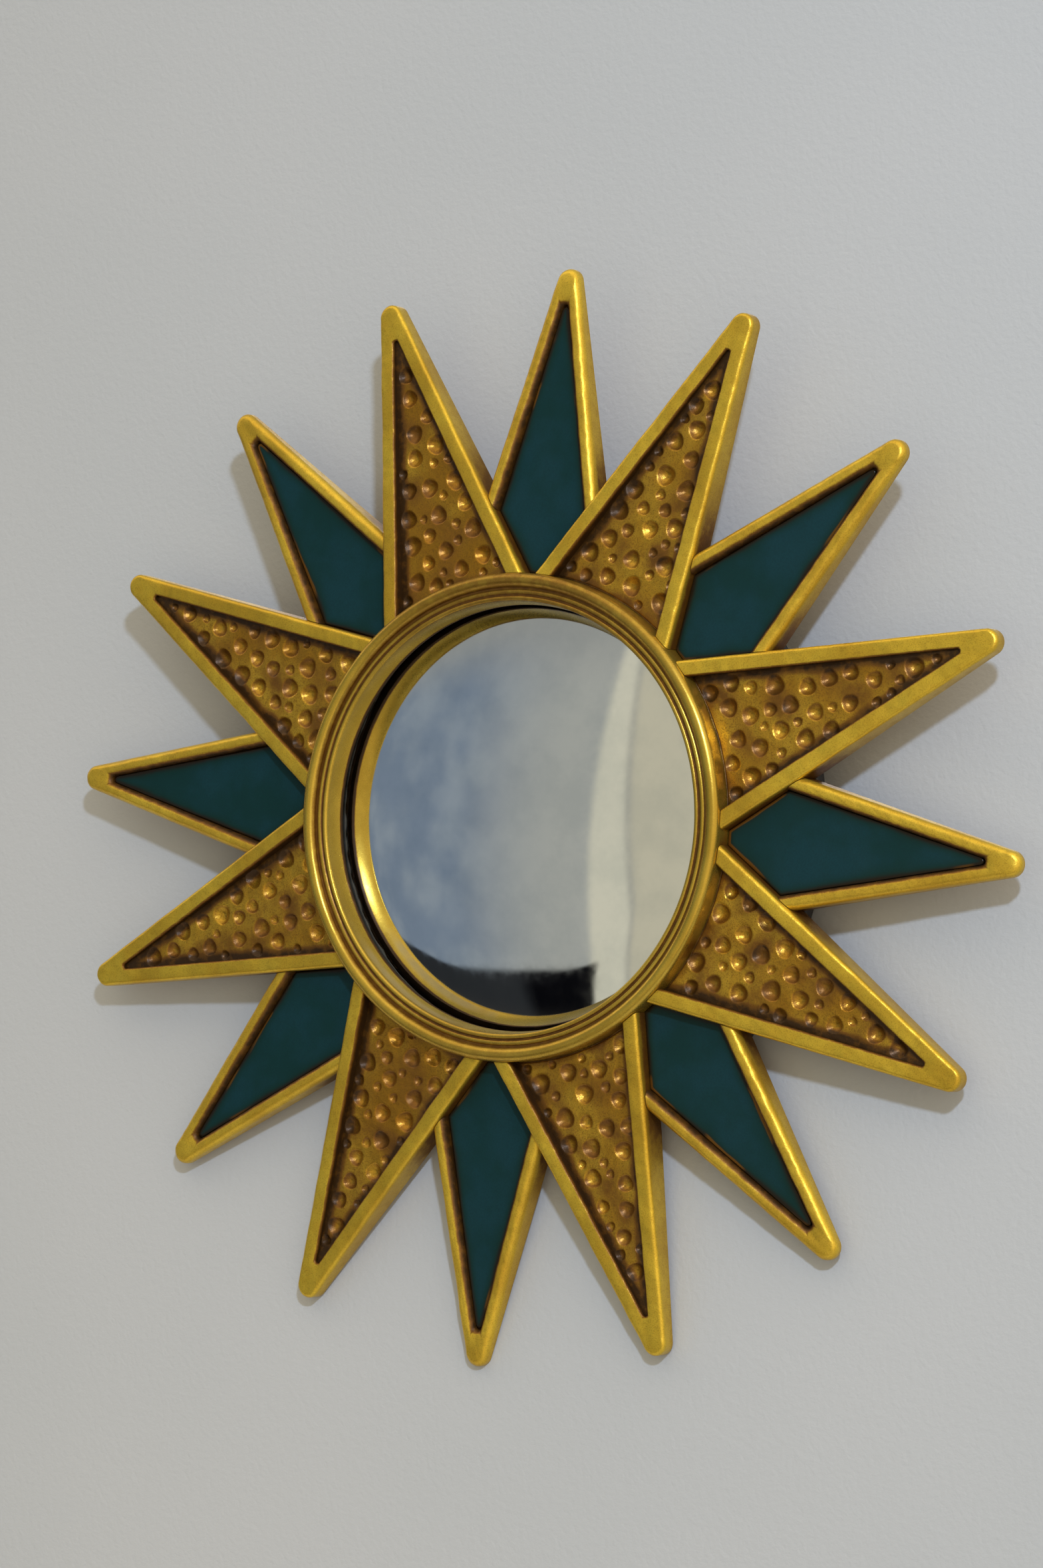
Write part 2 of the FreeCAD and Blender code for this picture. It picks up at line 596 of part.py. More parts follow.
# The rays and panes, clockwise from straight up.
hammered_points = mirrored([tip_point("hammered", "0", "hammered_tip_radius"),
                            ("root_across", "root_radius * cos(root_angle)")])
hammered_arcs = {1: ("root_radius", -1), 3: ("hammered_tip_radius", 1)}
teal_points = mirrored([tip_point("teal", "0", "teal_tip_radius")]
                       + between_hammered("0", "fit_gap", "root_radius"))
teal_arcs = {2: ("root_radius", -1), 5: ("teal_tip_radius", 1)}
for number in range(int(value_of("ray_pairs"))):
    teal_turn = "%d * half_pitch" % (2 * number)
    hammered_turn = "%d * half_pitch" % (2 * number + 1)
    ray("teal_ray_%d" % (number + 1), "teal", teal_turn, teal_points, teal_arcs)
    pane("teal_pane_%d" % (number + 1), teal_turn)
    ray("hammered_ray_%d" % (number + 1), "hammered", hammered_turn, hammered_points, hammered_arcs)

# Screws from behind, and the pads that touch the wall.
pan_head_screws("ray_screws", "0", "ray_screw_circle", "2 * ray_pairs")
pan_head_screws("ring_screws", "half_pitch", "ring_screw_circle", "ray_pairs")

bumpers = new_body("wall_bumpers", "180 / bumper_count")
sketch = new_sketch(bumpers, "bumper_section", "YZ_Plane", shift="bumper_circle")
draw_outline(sketch, [
    ("0", "0"),
    ("0", "bumper_radius"),
    ("bumper_thickness - bumper_round", "bumper_radius"),
    ("bumper_thickness", "bumper_radius - bumper_round"),
    ("bumper_thickness", "0"),
], {2: ("bumper_round", 1)})
repeat_around(bumpers, [revolve(bumpers, sketch, "H_Axis")], "bumper_count")

# The hanger: a strap below its knuckle, and the wire loop above it.
strap = new_body("hanger_strap")
sketch = new_sketch(strap, "strap_outline", "XZ_Plane", shift="hanger_height")
draw_outline(sketch, mirrored([
    ("strap_width / 2", "0"),
    ("strap_width / 2", "-(strap_length - strap_corner)"),
    ("strap_width / 2 - strap_corner", "-strap_length"),
]), {1: ("strap_corner", 1), 3: ("strap_corner", 1)})
pad(strap, sketch, "strap_thickness", reverse=True)
sketch = new_sketch(strap, "knuckle", "YZ_Plane", shift="hanger_height")
draw_circle(sketch, "knuckle_radius", pivot_depth)
pad(strap, sketch, "strap_width", middle=True)
sketch = new_sketch(strap, "knuckle_bore", "YZ_Plane", "-strap_width", shift="hanger_height")
draw_circle(sketch, "wire_radius + wire_gap", pivot_depth)
pocket(strap, sketch, reverse=True)
for number, drop in enumerate(("strap_screw_first", "strap_screw_first + strap_screw_spacing"), start=1):
    sketch = new_sketch(strap, "strap_hole_%d" % number, "XZ_Plane", shift="hanger_height")
    draw_circle(sketch, "strap_screw_radius + fit_gap", along="-(%s)" % drop)
    pocket(strap, sketch)

screws = new_body("hanger_screws")
for number, drop in enumerate(("strap_screw_first", "strap_screw_first + strap_screw_spacing"), start=1):
    height = "(hanger_height - (%s))" % drop
    sketch = new_sketch(screws, "hanger_screw_%d" % number, "YZ_Plane", shift=height)
    draw_outline(sketch, [
        ("strap_thickness + strap_screw_head_height", "0"),
        ("strap_thickness", "strap_screw_head"),
        ("strap_thickness", "strap_screw_radius"),
        ("strap_thickness - strap_screw_length + strap_screw_point", "strap_screw_radius"),
        ("strap_thickness - strap_screw_length", "0"),
    ], {0: ("strap_screw_dome", -1)})
    revolve(screws, sketch, "H_Axis")

loop = new_body("hanger_ring")
sketch = new_sketch(loop, "loop_bar_section", "YZ_Plane", shift="hanger_height")
draw_circle(sketch, "wire_radius", pivot_depth)
pad(loop, sketch, "2 * loop_bar", middle=True)
path = new_sketch(loop, "loop_path", "XZ_Plane", "-%s" % pivot_depth, shift="hanger_height")
outer = "(loop_bar + loop_corner)"
right_half = [("loop_bar", "0"), (outer, "loop_corner"), (outer, "loop_corner + loop_leg")]
crown = ("0", "loop_corner + loop_leg + %s" % outer)
draw_outline(path, right_half + [crown] + mirrored(right_half)[len(right_half):],
             {0: ("loop_corner", -1), 2: (outer, -1), 3: (outer, -1), 5: ("loop_corner", -1)}, closed=False)
section = new_sketch(loop, "loop_section", "YZ_Plane", "loop_bar", shift="hanger_height")
draw_circle(section, "wire_radius", pivot_depth)
bend = loop.newObject("PartDesign::AdditivePipe", "loop_bend")
bend.Profile = section
bend.Spine = (path, ["Edge%d" % number for number in range(1, path.GeometryCount + 1)])
doc.recompute()

export_all()
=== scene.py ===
"""Looks of the sunburst wall mirror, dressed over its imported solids."""
import math

import bpy
import numpy as np
from mathutils import Matrix, Vector


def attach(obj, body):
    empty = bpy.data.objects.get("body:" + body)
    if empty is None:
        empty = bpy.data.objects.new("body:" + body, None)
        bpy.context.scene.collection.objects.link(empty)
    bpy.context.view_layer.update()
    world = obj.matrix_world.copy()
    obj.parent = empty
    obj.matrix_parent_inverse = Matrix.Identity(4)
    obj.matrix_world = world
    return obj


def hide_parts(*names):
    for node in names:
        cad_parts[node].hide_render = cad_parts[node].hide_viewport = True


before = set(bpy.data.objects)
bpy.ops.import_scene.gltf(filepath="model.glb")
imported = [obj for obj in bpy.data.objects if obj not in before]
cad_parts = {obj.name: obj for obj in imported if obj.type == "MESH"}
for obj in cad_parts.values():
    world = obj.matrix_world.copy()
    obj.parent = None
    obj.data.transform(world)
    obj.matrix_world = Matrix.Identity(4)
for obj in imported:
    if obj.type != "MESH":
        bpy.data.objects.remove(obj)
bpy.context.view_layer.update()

MM = 0.001
PAIRS = 8
PITCH = math.pi / PAIRS
BODY = "mirror"
FRONT = np.array([0.0, -1.0, 0.0])
BACK = np.array([0.0, 1.0, 0.0])

# The part's own sizes, in millimetres, as its source has them.
TIP_REACH = 300
DISC_THICKNESS = 8
RING_OUTER = 132.5
RING_REBATE = 122.5
REBATE_DEPTH = 8
RING_LIP = 116
LIP_EDGE = 1
INNER_WALL_STEP = 1.3
INNER_WALL_COVE = 30
BEAD_RADIUS = 3.9
BEAD_WIDTH = 7.7
BEAD_HEIGHT = 21.4
OUTER_GROOVE_WIDTH = 1.2
OUTER_GROOVE_HEIGHT = 21.4
REED_WIDTH = 2.7
REED_ROUND = 1.6
INNER_GROOVE_WIDTH = 0.8
INNER_GROOVE_HEIGHT = 21.6
INNER_BEAD_ROUND = 1.45
INNER_BEAD_FOOT = 21.2
GLASS_RADIUS = 121.5
GLASS_CURVE = 460
GLASS_THICKNESS = 3
GLASS_SEAT = 1.5
BOARD = 1.6
FIT_GAP = 0.3
ROOT = RING_OUTER + FIT_GAP
NOTCH = RING_OUTER + 46.3
ROOT_GAP = 8.35
HAMMERED = {"tip": 6.8, "front": (9, 20.8), "floor": (6.7, 13), "rim": 9, "outer_round": 2.2,
            "inner_round": 1.2, "corner": 1.5, "crown": 0.2, "lip_stain": 0.55,
            "wall_stain_and_shade": 1.1}
TEAL = {"tip": 7, "front": (6.6, 18.3), "floor": (1.3, 9.4), "rim": 8.4, "outer_round": 3.2,
        "inner_round": 3.0, "corner": 2, "crown": 0.8, "lip_stain": 0.9,
        "wall_stain_and_shade": 0.85}
PANE_THICKNESS = 2.4
PANE_GAP = 0.4
PANE_CORNER = 1.6
SEAM = 0.55
SEAM_WIDTH = 0.38
SEAM_DEPTH = 0.35
SURFACE_LIFT = 0.22
RIM_WALL_ROWS = 5
RIM_ROUND_ROWS = 7
RIM_TOP_ROWS = 7
RIM_SINK = 1.8
GLASS_SAG = 0.75
GLASS_SAG_FROM = 90
GLASS_SAG_TO = 116
GLASS_SAG_TURN = math.radians(215)
# Turn where the painted shade low on the ring's inner wall reaches highest.
DARK_FOOT_TURN = math.radians(262)
DUST_TURN = math.radians(208)
PUTTY_SMEAR_TURN = math.radians(222)

# Dimples: smallest and largest radius and the spare gap of each size, in millimetres.
DIMPLE_SIZES = ((4.9, 6.0, 2.5), (4.0, 4.9, 1.9), (2.6, 3.4, 1.2))
DIMPLE_TRIES = 900
DIMPLE_STEEPNESS = (0.50, 0.58)
DIMPLE_TILT = 0.15

# Colours of the finishes.
BROWN = (0.17, 0.072, 0.010)
# Near black of the heaviest staining and of the painted shade.
SOOT_AND_SHADE = (0.024, 0.011, 0.003)
DUST = (0.17, 0.18, 0.18)
RIM_GOLD = ((0.70, 0.475, 0.045), (0.54, 0.33, 0.028))
FLOOR_GOLD = ((0.52, 0.305, 0.028), (0.33, 0.155, 0.012))
RING_GOLD = ((0.55, 0.375, 0.052), (0.43, 0.28, 0.034))
SILVER = ((0.74, 0.76, 0.76), (0.66, 0.69, 0.70))
SILVER_EDGE = (0.20, 0.18, 0.15)
TEAL_PAINT = ((0.0035, 0.027, 0.026), (0.0055, 0.034, 0.042))
TEAL_MOTTLE = (0.003, 0.018, 0.022)
TEAL_GREEN = (0.004, 0.022, 0.016)
# Dark brown at the panes' edges, part paint and part painted shade.
TEAL_EDGE_AND_SHADE = (0.014, 0.009, 0.004)
GILT_SMEAR = (0.42, 0.17, 0.018)
PUTTY = ((0.05, 0.04, 0.03), (0.12, 0.11, 0.09))
PUTTY_SMEAR = (0.22, 0.22, 0.21)
BOARD_BLACK = ((0.012, 0.010, 0.009), (0.045, 0.038, 0.032))
BOARD_BROWN = ((0.11, 0.06, 0.03), (0.20, 0.12, 0.06))
RUBBER_BLACK = ((0.012, 0.011, 0.011), (0.030, 0.028, 0.026))
STRAP_ZINC = ((0.55, 0.56, 0.57), (0.36, 0.36, 0.36))
WIRE_ZINC = ((0.60, 0.61, 0.62), (0.42, 0.42, 0.42))
YELLOW_ZINC = ((0.52, 0.42, 0.24), (0.34, 0.28, 0.18))
AGED_SPECKLE = 0.60
AGED_METAL = 0.70
AGED_ROUGHNESS = 0.22

# Studio, in metres: the wall is close behind the lowest tips and leans away above them.
WALL_AWAY = 0.0133
WALL_LEAN = 0.07
STUDIO_REACH = 4.0
FLOOR_LEVEL = -1.2
FLOOR_AHEAD = -0.9
WALL_PAINT = ((0.440, 0.456, 0.464), (0.458, 0.470, 0.476))
FLOOR_PAINT = ((0.60, 0.60, 0.59), (0.64, 0.64, 0.63))
KEY_WAY = Vector((0.69, -1.0, 0.62))
KEY_AWAY = 3.0
KEY_SIZE = 0.18
KEY_WATTS = 52.0
KEY_COLOUR = (0.62, 0.76, 1.0)
REAR_WAY = Vector((-0.50, 1.0, 0.50))
REAR_SIZE = 0.8
REAR_WATTS = 30.0
REAR_COLOUR = (1.0, 0.97, 0.92)
ROOM_PLASTER = ((0.20, 0.25, 0.32), (0.29, 0.335, 0.38))
ROOM_MIDDLE = (0.44, 0.44, 0.40)
ROOM_CEILING = (0.355, 0.355, 0.33)
ROOM_FAR_LEFT = (0.03, 0.03, 0.032)
ROOM_BAND = (0.71, 0.67, 0.53)
ROOM_RIGHT = (0.61, 0.56, 0.42)
ROOM_CREASE = (0.45, 0.43, 0.36)
ROOM_WINDOW = (1.20, 1.02, 0.76)
ROOM_CHEST = (0.026, 0.028, 0.030)
ROOM_POST = (0.003, 0.003, 0.004)
ROOM_FLOOR = (0.05, 0.045, 0.04)
ROOM_ABOVE = (1.50, 1.28, 0.96)
ROOM_BEHIND = (0.42, 0.42, 0.42)
CAMERA_AT = Vector((1.26332, -2.03432, 0.03426))
CAMERA_TURN = Vector((0.0174, -0.085, 0.5593))
CAMERA_LENS = 100.54
CAMERA_SENSOR = 36
CAMERA_NEAR = 0.05


# Angles that follow from the sizes
def ray_angles():
    """Half angles of both kinds of ray, and the line of a hammered ray's side."""
    root_angle = PITCH - math.asin(ROOT_GAP / 2 / ROOT)
    across = ROOT * math.sin(root_angle)
    run = TIP_REACH - HAMMERED["tip"] - ROOT * math.cos(root_angle)
    hammered = math.atan(across / run) - math.asin(HAMMERED["tip"] / math.hypot(across, run))
    reach = (TIP_REACH - HAMMERED["tip"]) * math.sin(hammered) + HAMMERED["tip"]
    wall = hammered + PITCH
    along_wall = math.sqrt(NOTCH ** 2 - (reach + FIT_GAP) ** 2)
    notch_across = along_wall * math.sin(wall) - (reach + FIT_GAP) * math.cos(wall)
    notch_run = (TIP_REACH - TEAL["tip"] - (reach + FIT_GAP) * math.sin(wall)
                 - along_wall * math.cos(wall))
    teal = (math.atan(notch_across / notch_run)
            - math.asin(TEAL["tip"] / math.hypot(notch_across, notch_run)))
    return hammered, teal, reach, wall


HAMMERED["angle"], TEAL["angle"], WALL_REACH, WALL_ANGLE = ray_angles()


def apex(kind, inset=0.0):
    """Where the sides of a ray would meet, with both sides moved in."""
    return TIP_REACH - kind["tip"] + (kind["tip"] - inset) / math.sin(kind["angle"])


def level(kind, surface, along):
    """Height of a ray's front or floor above the disc at a distance from the centre."""
    tip, root = kind[surface]
    return tip + (root - tip) * (TIP_REACH - along) / (TIP_REACH - RING_OUTER)


def wall_point(distance, gap):
    """Point beside the next hammered ray, at a distance from the mirror's centre."""
    reach = WALL_REACH + gap
    run = math.sqrt(distance ** 2 - reach ** 2)
    return (run * math.sin(WALL_ANGLE) - reach * math.cos(WALL_ANGLE),
            run * math.cos(WALL_ANGLE) + reach * math.sin(WALL_ANGLE))


def wall_meets_side(inset, gap):
    """Where a teal ray's side, moved in, meets the hammered ray beside it."""
    reach = WALL_REACH + gap
    top = apex(TEAL, inset)
    slope = math.tan(TEAL["angle"])
    along = (top * slope + reach / math.cos(WALL_ANGLE)) / (math.tan(WALL_ANGLE) + slope)
    return ((top - along) * slope, along)


def side_meets_root(kind, inset, radius):
    """Where a ray's side, moved in, meets the circle at its root."""
    top = apex(kind, inset)
    slope = math.tan(kind["angle"])
    a = 1 + slope ** 2
    b = -2 * top * slope ** 2
    c = (top * slope) ** 2 - radius ** 2
    along = (-b + math.sqrt(b ** 2 - 4 * a * c)) / (2 * a)
    return ((top - along) * slope, along)


# Small numeric helpers
def smooth_step(low, high, value):
    """0 below low, 1 above high, eased in between."""
    share = np.clip((np.asarray(value, dtype=float) - low) / (high - low), 0, 1)
    return share * share * (3 - 2 * share)


def waves(points, size, seed, count=10):
    """Gentle seeded unevenness of about unit height, with features of a size in mm."""
    chance = np.random.RandomState(seed)
    points = np.asarray(points, dtype=float)
    total = np.zeros(points.shape[:-1])
    for _ in range(count):
        direction = chance.normal(size=points.shape[-1])
        direction /= np.linalg.norm(direction)
        stretch = size * chance.uniform(0.7, 1.5)
        total += np.sin(points @ direction * 2 * math.pi / stretch + chance.uniform(0, 2 * math.pi))
    return total / math.sqrt(count / 2)


def placed(across, along, height, turn):
    """Points in the mirror's frame, in mm, from a ray's own across, along and height."""
    across, along, height = np.broadcast_arrays(across, along, height)
    x = across * math.cos(turn) + along * math.sin(turn)
    z = -across * math.sin(turn) + along * math.cos(turn)
    return np.stack([x, -(DISC_THICKNESS + height), z], axis=-1)


def lathed(radius, height, angle):
    """Points of a turned surface, in mm."""
    radius, height, angle = np.broadcast_arrays(radius, height, angle)
    return np.stack([radius * np.sin(angle), -(DISC_THICKNESS + height), radius * np.cos(angle)], axis=-1)


def bulge(start, end, radius, side, count):
    """Points on an arc between two points of a section, without the first."""
    start = np.array(start, dtype=float)
    end = np.array(end, dtype=float)
    chord = end - start
    half = np.linalg.norm(chord) / 2
    normal = np.array([-chord[1], chord[0]]) / (2 * half)
    centre = (start + end) / 2 + side * normal * math.sqrt(radius ** 2 - half ** 2)
    first = math.atan2(*(start - centre)[::-1])
    last = math.atan2(*(end - centre)[::-1])
    if last - first > math.pi:
        last -= 2 * math.pi
    if first - last > math.pi:
        last += 2 * math.pi
    angles = np.linspace(first, last, count + 1)[1:]
    return [(centre[0] + radius * math.cos(a), centre[1] + radius * math.sin(a)) for a in angles]


# Pieces
class Piece:
    """Collects sheets of points and makes one object of them."""

    def __init__(self, name):
        self.name = name
        self.points = []
        self.faces = []
        self.layers = {}
        self.count = 0

    def keep(self, points, layers):
        """Stores points and their layer values, and returns the first one's number."""
        first = self.count
        self.points.append(points.reshape(-1, 3))
        size = len(self.points[-1])
        for key in set(self.layers) | set(layers):
            parts = self.layers.setdefault(key, [np.zeros(first)] if first else [])
            value = np.broadcast_to(np.asarray(layers.get(key, 0.0), dtype=float), points.shape[:-1])
            parts.append(value.reshape(-1))
        self.count += size
        return first

    def sheet(self, points, facing, probe=None, closed=False, **layers):
        """Adds a grid of points. The face at the probe turns to the facing direction."""
        rows, columns = points.shape[:2]
        first = self.keep(points, layers)
        numbers = first + np.arange(rows * columns).reshape(rows, columns)
        if closed:
            numbers = np.vstack([numbers, numbers[:1]])
        a, b = numbers[:-1, :-1].ravel(), numbers[:-1, 1:].ravel()
        c, d = numbers[1:, 1:].ravel(), numbers[1:, :-1].ravel()
        row, column = probe or (rows // 2, columns // 2)
        row = min(row, rows - 2)
        column = min(column, columns - 2)
        one = points[row + 1, column] - points[row, column]
        two = points[row, column + 1] - points[row, column]
        if np.dot(np.cross(two, one), facing) > 0:
            self.faces += np.stack([a, b, c, d], axis=1).tolist()
        else:
            self.faces += np.stack([d, c, b, a], axis=1).tolist()

    def patch(self, points, facing, **layers):
        """Adds one flat many-sided face."""
        points = np.asarray(points, dtype=float)
        first = self.keep(points[:, None, :], layers)
        after = np.roll(points, -1, axis=0)
        normal = np.cross(points, after).sum(axis=0)
        order = list(range(first, first + len(points)))
        if np.dot(normal, facing) < 0:
            order.reverse()
        self.faces.append(order)

    def build(self, material, slot, *nodes, body=BODY):
        """Makes the object, with smooth faces and its layers as attributes."""
        mesh = bpy.data.meshes.new(self.name)
        points = np.concatenate(self.points) * MM
        mesh.from_pydata(points.tolist(), [], self.faces)
        mesh.polygons.foreach_set("use_smooth", [True] * len(mesh.polygons))
        for key, parts in self.layers.items():
            layer = mesh.attributes.new(key, "FLOAT", "POINT")
            layer.data.foreach_set("value", np.concatenate(parts))
        mesh.materials.append(material)
        mesh.validate()
        mesh.update()
        piece = bpy.data.objects.new(self.name, mesh)
        bpy.context.scene.collection.objects.link(piece)
        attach(piece, body)
        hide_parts(*nodes)
        return piece


# Shader helpers
def new_material(name):
    """Empty material with its principled shader."""
    material = bpy.data.materials.new(name)
    material.use_nodes = True
    tree = material.node_tree
    tree.nodes.clear()
    output = tree.nodes.new("ShaderNodeOutputMaterial")
    shader = tree.nodes.new("ShaderNodeBsdfPrincipled")
    tree.links.new(shader.outputs[0], output.inputs["Surface"])
    return material, tree, shader


def add_node(tree, kind, inputs=None, **settings):
    """Node with its settings, and its inputs linked or set."""
    node = tree.nodes.new(kind)
    for key, value in settings.items():
        setattr(node, key, value)
    for key, value in (inputs or {}).items():
        set_input(tree, node, key, value)
    return node


def set_input(tree, node, key, value):
    """Links a socket, or sets a plain value."""
    if isinstance(value, bpy.types.NodeSocket):
        tree.links.new(value, node.inputs[key])
    else:
        node.inputs[key].default_value = value


def place(tree):
    """Object coordinates, in metres."""
    return add_node(tree, "ShaderNodeTexCoord").outputs["Object"]


def noise(tree, size, detail=2.0, rough=0.5, stretch=None):
    """Cloudy noise with features of a size in mm."""
    where = place(tree)
    if stretch:
        where = add_node(tree, "ShaderNodeMapping", {"Vector": where, "Scale": stretch}).outputs[0]
    inputs = {"Vector": where, "Scale": 1 / (size * MM), "Detail": detail, "Roughness": rough}
    return add_node(tree, "ShaderNodeTexNoise", inputs).outputs[0]


def remap(tree, value, low, high, new_low=0.0, new_high=1.0, kind="SMOOTHSTEP"):
    """Value moved from one range to another, clamped."""
    inputs = {"Value": value, "From Min": low, "From Max": high, "To Min": new_low, "To Max": new_high}
    return add_node(tree, "ShaderNodeMapRange", inputs, interpolation_type=kind).outputs[0]


def calc(tree, operation, one, two=0.0, clamp=False):
    """One sum on two values."""
    node = add_node(tree, "ShaderNodeMath", {0: one, 1: two}, operation=operation, use_clamp=clamp)
    return node.outputs[0]


def centred(tree, value, share):
    """Noise moved to swing round zero, times a share."""
    return calc(tree, "MULTIPLY", calc(tree, "SUBTRACT", value, 0.5), share)


def blend(tree, share, one, two):
    """Two colours mixed."""
    node = add_node(tree, "ShaderNodeMix", data_type="RGBA", blend_type="MIX")
    set_input(tree, node, 0, share)
    for key, colour in ((6, one), (7, two)):
        set_input(tree, node, key, colour if isinstance(colour, bpy.types.NodeSocket) else (*colour, 1))
    return node.outputs[2]


def layer(tree, name):
    """A value stored on the mesh."""
    return add_node(tree, "ShaderNodeAttribute", attribute_name=name).outputs["Fac"]


def bump(tree, height, depth, strength=1.0, below=None):
    """Bump of a depth in mm, on top of another one."""
    inputs = {"Height": height, "Distance": depth * MM, "Strength": strength}
    if below is not None:
        inputs["Normal"] = below
    return add_node(tree, "ShaderNodeBump", inputs).outputs[0]


def finish_shader(tree, shader, **inputs):
    """Sets the principled shader's inputs. Underscores stand for spaces."""
    for key, value in inputs.items():
        if isinstance(value, tuple) and len(value) == 3:
            value = (*value, 1)
        set_input(tree, shader, key.replace("_", " "), value)


# Materials
def gilding(name, tones, speckle, peel, rough, metal):
    """Gilded wood: rubbed gold over brown, aged on the floors, and darker where the mesh layer holds
    staining or painted shade.
    """
    material, tree, shader = new_material(name)
    cloud = remap(tree, noise(tree, 45, 3), 0.35, 0.68)
    blotch = remap(tree, noise(tree, 6, 3, 0.6), 0.40, 0.68)
    grain = noise(tree, 0.7, 2, 0.6)
    fine = noise(tree, 0.35, 2)
    aged = layer(tree, "aged")
    deep = blend(tree, aged, tones[1], FLOOR_GOLD[1])
    gold = blend(tree, cloud, blend(tree, aged, tones[0], FLOOR_GOLD[0]), deep)
    gold = blend(tree, calc(tree, "MULTIPLY", blotch, 0.4), gold, deep)
    freckle = remap(tree, grain, 0.48, 0.66)
    speckles = remap(tree, aged, 0, 1, speckle, AGED_SPECKLE, "LINEAR")
    gold = blend(tree, calc(tree, "MULTIPLY", freckle, speckles), gold, BROWN)
    # The mesh layer holds real staining and painted shade; both turn the gold brown and then near black.
    patina = layer(tree, "patina")
    uneven = remap(tree, noise(tree, 5, 4, 0.6), 0.3, 0.62, 0.78, 1.12)
    stain_and_shade = calc(tree, "MULTIPLY", patina, uneven)
    stain_and_shade = calc(tree, "ADD", stain_and_shade, centred(tree, fine, 0.35))
    stain_and_shade = calc(tree, "MULTIPLY", stain_and_shade, remap(tree, patina, 0.0, 0.12), True)
    colour = blend(tree, remap(tree, stain_and_shade, 0.0, 0.55), gold, BROWN)
    colour = blend(tree, remap(tree, stain_and_shade, 0.40, 1.15), colour, SOOT_AND_SHADE)
    dust = layer(tree, "dust")
    colour = blend(tree, dust, colour, DUST)
    matte = remap(tree, aged, 0, 1, rough, AGED_ROUGHNESS, "LINEAR")
    matte = calc(tree, "ADD", matte, centred(tree, blotch, 0.06))
    matte = calc(tree, "ADD", matte, calc(tree, "MULTIPLY", stain_and_shade, 0.12))
    matte = calc(tree, "ADD", matte, calc(tree, "MULTIPLY", dust, 0.35), True)
    shine = remap(tree, aged, 0, 1, metal, AGED_METAL, "LINEAR")
    shine = calc(tree, "MULTIPLY", shine, remap(tree, stain_and_shade, 0, 1, 1.0, 0.55, "LINEAR"))
    shine = calc(tree, "MULTIPLY", shine, calc(tree, "SUBTRACT", 1.0, dust))
    normal = bump(tree, grain, peel, 0.8)
    normal = bump(tree, fine, peel * 0.5, 0.7, normal)
    finish_shader(tree, shader, Base_Color=colour, Metallic=shine, Roughness=matte, Normal=normal,
                  Specular_IOR_Level=0.3)
    return material


def mirror_silver():
    """Domed silvered glass, slightly cloudy."""
    material, tree, shader = new_material("domed_mirror")
    cloud = noise(tree, 30, 4, 0.6)
    haze = noise(tree, 5, 3)
    colour = blend(tree, remap(tree, cloud, 0.35, 0.7), *SILVER)
    edge = layer(tree, "edge")
    colour = blend(tree, edge, colour, SILVER_EDGE)
    rough = remap(tree, haze, 0.3, 0.7, 0.035, 0.075, "LINEAR")
    finish_shader(tree, shader, Base_Color=colour, Metallic=1.0, Roughness=rough)
    return material


def teal_glass():
    """Back-painted teal glass with a dark brown edge, partly airbrushed paint and partly painted shade, and
    gilt smears.
    """
    material, tree, shader = new_material("teal_pane")
    cloud = remap(tree, noise(tree, 30, 3, 0.55), 0.33, 0.68)
    mottle = remap(tree, noise(tree, 1.1, 3, 0.6), 0.35, 0.7)
    colour = blend(tree, cloud, *TEAL_PAINT)
    colour = blend(tree, calc(tree, "MULTIPLY", mottle, 0.30), colour, TEAL_MOTTLE)
    drift = noise(tree, 22, 2)
    edge = calc(tree, "ADD", layer(tree, "edge"), centred(tree, drift, 0.5))
    green = remap(tree, edge, 0.05, 0.5)
    colour = blend(tree, calc(tree, "MULTIPLY", green, 0.7), colour, TEAL_GREEN)
    shade = remap(tree, edge, 0.35, 0.85)
    colour = blend(tree, shade, colour, TEAL_EDGE_AND_SHADE)
    patches = remap(tree, noise(tree, 48, 2, 0.4), 0.58, 0.64)
    smear = calc(tree, "MULTIPLY", patches, remap(tree, edge, 0.58, 0.66))
    colour = blend(tree, calc(tree, "MULTIPLY", smear, 0.3), colour, GILT_SMEAR)
    normal = bump(tree, noise(tree, 9, 2), 0.05, 0.5)
    finish_shader(tree, shader, Base_Color=colour, Metallic=calc(tree, "MULTIPLY", smear, 0.5),
                  Roughness=remap(tree, mottle, 0, 1, 0.14, 0.26), Normal=normal, Specular_IOR_Level=0.16)
    return material


def putty_grey():
    """Dried glazing putty."""
    material, tree, shader = new_material("dry_putty")
    grain = noise(tree, 2.5, 4, 0.6)
    colour = blend(tree, remap(tree, grain, 0.3, 0.7), *PUTTY)
    colour = blend(tree, layer(tree, "smear"), colour, PUTTY_SMEAR)
    finish_shader(tree, shader, Base_Color=colour, Roughness=0.85, Normal=bump(tree, grain, 0.3, 0.8))
    return material


def black_paint():
    """Black painted board with faint brush marks."""
    material, tree, shader = new_material("black_painted_board")
    strokes = noise(tree, 3, 3, 0.6, (1, 1, 0.12))
    dust = remap(tree, noise(tree, 14, 4, 0.6), 0.5, 0.75)
    colour = blend(tree, calc(tree, "MULTIPLY", dust, 0.4), *BOARD_BLACK)
    finish_shader(tree, shader, Base_Color=colour, Roughness=remap(tree, strokes, 0.3, 0.7, 0.42, 0.62),
                  Normal=bump(tree, strokes, 0.08, 0.7))
    return material


def grainy(name, grain, tones, depth, strength):
    """Matte material with a fine grain, such as hardboard or rubber."""
    material, tree, shader = new_material(name)
    pattern = noise(tree, *grain)
    colour = blend(tree, remap(tree, pattern, 0.3, 0.7), *tones)
    normal = bump(tree, pattern, depth, strength)
    finish_shader(tree, shader, Base_Color=colour, Roughness=0.8, Normal=normal)
    return material


